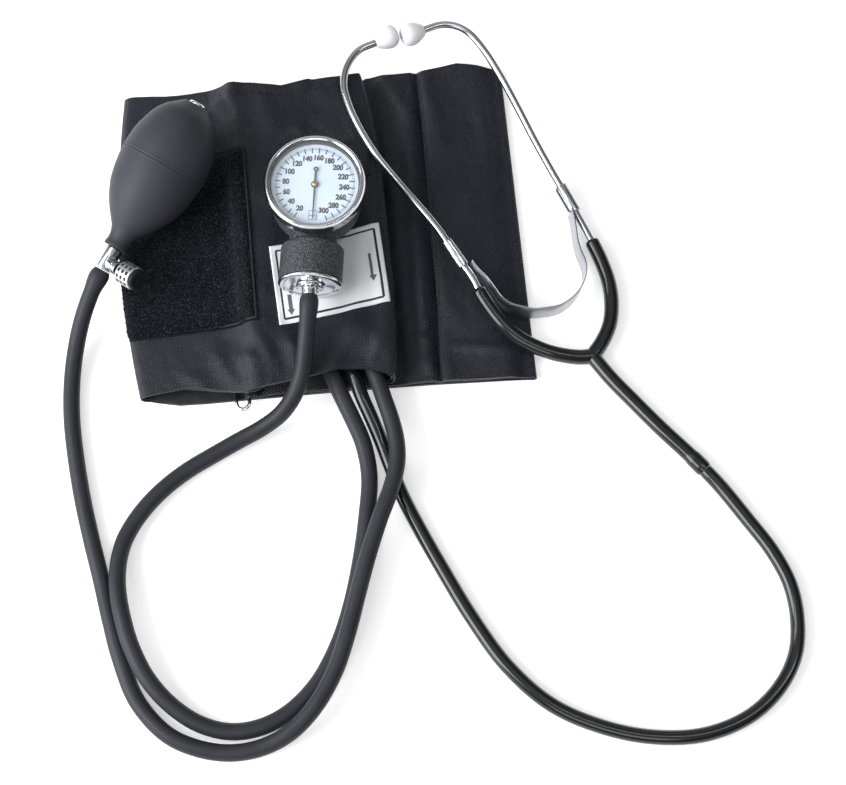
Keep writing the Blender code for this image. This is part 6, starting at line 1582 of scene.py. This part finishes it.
# %% Hook pad under the top layer
def flat_pad(start, end, low, high, base, thickness, step, rise):
    """A thin pad on a level, its upper side raised by a function."""
    columns, lines = round((end - start) / step), round((high - low) / step)
    shape = bmesh.new()
    grids = []
    for level in (base, base + thickness):
        grid = []
        for line in range(lines + 1):
            y = low + (high - low) * line / lines
            across = [start + (end - start) * column / columns for column in range(columns + 1)]
            grid.append([shape.verts.new((x, y, level + (rise(x, y) if level > base else 0))) for x in across])
        grids.append(grid)
    return close_sheet(shape, grids)


HOOK_BASE = RETURN_OUTER + CLOTH / 2 + SEAT
hooks = flat_pad(HOOK_PAD_START, 0.0180, -0.0600, 0.0600, HOOK_BASE, 0.0006, 0.0012,
                 lambda x, y: 0.0003 * abs(noise.noise(Vector((x * 1100, y * 1100, 4)))))
hook_piece = publish("hook_patch", hooks, pile, stands_for=("hook_pad",), where=CUFF, sharp=180)

# %% Bladder inside the top layer
BLADDER_BASE = OVER_INNER + CLOTH / 2 + SEAT
BLADDER = 0.0020
WELD = 0.0060


def bag_swell(x, y):
    inside = min(x - BLADDER_START, BLADDER_END - x, y - BLADDER_LOW, BLADDER_HIGH - y)
    return (BLADDER - 0.0008) * math.sqrt(max(0, 1 - (1 - min(1, inside / WELD)) ** 2))


bag = flat_pad(BLADDER_START, BLADDER_END, BLADDER_LOW, BLADDER_HIGH, BLADDER_BASE, 0.0008, 0.0020, bag_swell)
bag_piece = publish("air_bladder", bag, seal_rubber, stands_for=("bladder",), where=CUFF, sharp=180)

# %% [markdown]
# ## Label and webbing
# A white satin label is sewn to the cuff, with a printed border and two arrows that show which way round it
# goes on. It carries no words here. Beside it a short loop of ribbed webbing is sewn on, which can take a clip.

# %% Label
LABEL_LENGTH, LABEL_WIDTH, LABEL = 0.0540, 0.0405, 0.0004
LABEL_MIDDLE = Vector((-0.0016, -0.0264))
reach = Vector((math.cos(math.radians(7.5)), math.sin(math.radians(7.5))))
rise = Vector((-math.sin(math.radians(2.9)), math.cos(math.radians(2.9))))


def label_spot(across_share, up_share):
    """A place of the label, from -1 to 1 each way."""
    spot = LABEL_MIDDLE + reach * (LABEL_LENGTH / 2 * across_share) + rise * (LABEL_WIDTH / 2 * up_share)
    return spot.x, spot.y


def laid_grid(spot_at, columns, lines, thickness, surface, ribs=None):
    """A thin piece laid on a surface, from shares -1 to 1 each way, with ribs if given."""
    shape = bmesh.new()
    grids = []
    for height in (SEAT * 0.5, SEAT * 0.5 + thickness):
        grid = []
        for line in range(lines + 1):
            row = []
            for column in range(columns + 1):
                one, two = column / columns * 2 - 1, line / lines * 2 - 1
                x, y = spot_at(one, two)
                extra = ribs(one, two) if ribs and height > SEAT else 0
                row.append(shape.verts.new((x, y, surface(x, y) + height + extra)))
            grid.append(row)
        grids.append(grid)
    return close_sheet(shape, grids)


def label_edge(one, two):
    """The folded edge is a little thicker than the middle."""
    return 0.0002 * (1 - ease(min(1 - abs(one), (1 - abs(two)) * 0.75), 0.03, 0.07))


label_piece = publish("arm_label", laid_grid(label_spot, 60, 46, LABEL * 0.8, cuff_top, label_edge), satin,
                      stands_for=("size_label",), where=CUFF, sharp=180)


def label_top(along, across):
    return cuff_top(along, across) + SEAT * 0.5 + LABEL * 0.8


PRINT, PRINT_LIFT = 0.00006, 0.00002
ARROW_HEAD, ARROW_SHAFT, ARROW_BARB = 0.0030, 0.0019, 0.0018
BORDER_ACROSS, BORDER_UP = 0.895, 0.865
BORDER_WIDTHS = (0.0011, 0.0012, 0.0009, 0.0009)
corners = [label_spot(x * BORDER_ACROSS, y * BORDER_UP) for x, y in ((-1, -1), (1, -1), (1, 1), (-1, 1), (-1, -1))]
prints = [band([one, two], label_top, width, PRINT, PRINT_LIFT)
          for one, two, width in zip(corners, corners[1:], BORDER_WIDTHS)]


def arrow(across_share, tail, head):
    """A plain arrow: a bar and a pointed head, as two laid strips."""
    tip, base = label_spot(across_share, head), label_spot(across_share, tail)
    way = (Vector(tip) - Vector(base)).normalized()
    neck = Vector(tip) - way * ARROW_HEAD
    shaft = band([base, tuple(neck)], label_top, ARROW_SHAFT, PRINT, PRINT_LIFT)
    side = Vector((-way.y, way.x)) * ARROW_BARB
    point = bmesh.new()
    outline = [Vector(tip), neck + side, neck - side]
    prism(point, *([point.verts.new((spot.x, spot.y, label_top(*spot) + height)) for spot in outline]
                   for height in (PRINT_LIFT, PRINT_LIFT + PRINT)))
    return joined(shaft, point)


label_frame = publish("label_frame", joined(*prints), ink, where=CUFF)
arrows = [arrow(0.76, 0.28, -0.44), arrow(-0.76, -0.28, -0.80)]
grey_print, tree, shader = start_finish("grey_print", (0.10, 0.105, 0.12), 0.6)
tree.links.new(two_tone(tree, blotches(tree, 1200, 2), (0.07, 0.075, 0.085), (0.15, 0.155, 0.17)),
               shader.inputs["Base Color"])
label_print = publish("label_print", joined(*arrows), grey_print, where=CUFF)

# %% Webbing loop
WEB_START, WEB_END, WEB_LOW, WEB_HIGH = -0.0180, 0.0228, 0.0236, 0.0424
WEB_RIB = 0.00105


def web_spot(one, two):
    """A place of the webbing, from -1 to 1 each way."""
    return ((WEB_START + WEB_END + one * (WEB_END - WEB_START)) / 2,
            (WEB_LOW + WEB_HIGH + two * (WEB_HIGH - WEB_LOW)) / 2)


def web_ribs(one, two):
    return 0.00022 * abs(math.sin(math.pi * (two * (WEB_HIGH - WEB_LOW) / 2) / WEB_RIB))


loop_piece = publish("holder_loop", laid_grid(web_spot, 40, 150, 0.0007, cuff_top, web_ribs), webbing,
                     stands_for=("gauge_loop",), where=CUFF, sharp=180)


def web_top(along, across):
    return cuff_top(along, across) + 0.00095


WEB_SEAM = 0.0010
WEB_THREAD = 0.00022
web_line = [(WEB_START + 2 * WEB_SEAM, WEB_HIGH - WEB_SEAM), (WEB_END - WEB_SEAM, WEB_HIGH - WEB_SEAM),
            (WEB_END - WEB_SEAM, WEB_LOW + WEB_SEAM)]
bar_tacks = [stitch_row([(x * MM, WEB_HIGH + 0.0006), (x * MM, WEB_HIGH - 0.0030)], web_top, 0.0032, 0.0030, WEB_THREAD)
             for x in (9, 10.2, 11.4, 12.6, 13.8, 15, 16.2, 17.4, 18.6, 19.8, 21)]
loop_stitches = publish("loop_stitches", joined(stitch_row(web_line, web_top, 0.0024, 0.0017, WEB_THREAD), *bar_tacks),
                        thread, where=CUFF)

# %% Wire ring
RING_WIRE, RING_WIDTH, RING_LOW, RING_HIGH = 0.0018, 0.0063, -0.0844, 0.0748
RING_SIDES, RING_STEPS = 16, 24
tilt = math.asin((RING_LEVEL - FLOOR_INNER - CLOTH / 2 - SEAT - RING_WIRE / 2) / RING_WIDTH)
RING = CUFF @ Matrix.Translation((RING_ALONG, 0, RING_LEVEL)) @ Matrix.Rotation(-tilt, 4, "Y")
half = RING_WIDTH / 2
loop_points = []
for centre, start in ((RING_LOW + half, 180), (RING_HIGH - half, 0)):
    for step in range(RING_STEPS + 1):
        angle = math.radians(start + 180 * step / RING_STEPS)
        loop_points.append(Vector((-half + half * math.cos(angle), centre + half * math.sin(angle), 0)))
shape, rings = bmesh.new(), []
for place, point in enumerate(loop_points):
    way = (loop_points[(place + 1) % len(loop_points)] - loop_points[place - 1]).normalized()
    side = way.cross(UP).normalized()
    rings.append(round_ring(shape, point, side, UP, RING_WIRE / 2, RING_SIDES))
skin(shape, rings + rings[:1], capped=False)
publish("wire_ring", shape, chrome, body="ring", stands_for=("cuff_ring",), where=RING, sharp=60)

# %% [markdown]
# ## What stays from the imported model
# The movement inside the case, the small valve parts and the chestpiece between the layers keep their packed
# shapes. Each only gets the finish of its own material.

# %% Finishes for the pieces that stay
KEPT = {
    brass: ("capsule", "lower_plate", "upper_plate", "pinion", "sector_gear", "pointer_hub"),
    spring_steel: ("push_rod", "plate_screw_1", "plate_screw_2", "plate_screw_3", "hairspring", "inlet_ball",
                   "inlet_screen"),
    chrome: ("valve_needle", "chest_rim", "chest_body"),
    seal_rubber: ("needle_seal", "outlet_flap", "bladder_port_gauge", "bladder_port_bulb"),
    tip_plastic: ("chest_diaphragm",),
    ink: ("pointer",)}
for finish, names in KEPT.items():
    for name in names:
        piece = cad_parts[name]
        if not piece.material_slots:
            print("no material slot on", name)
        for material_slot in piece.material_slots:
            material_slot.material = finish
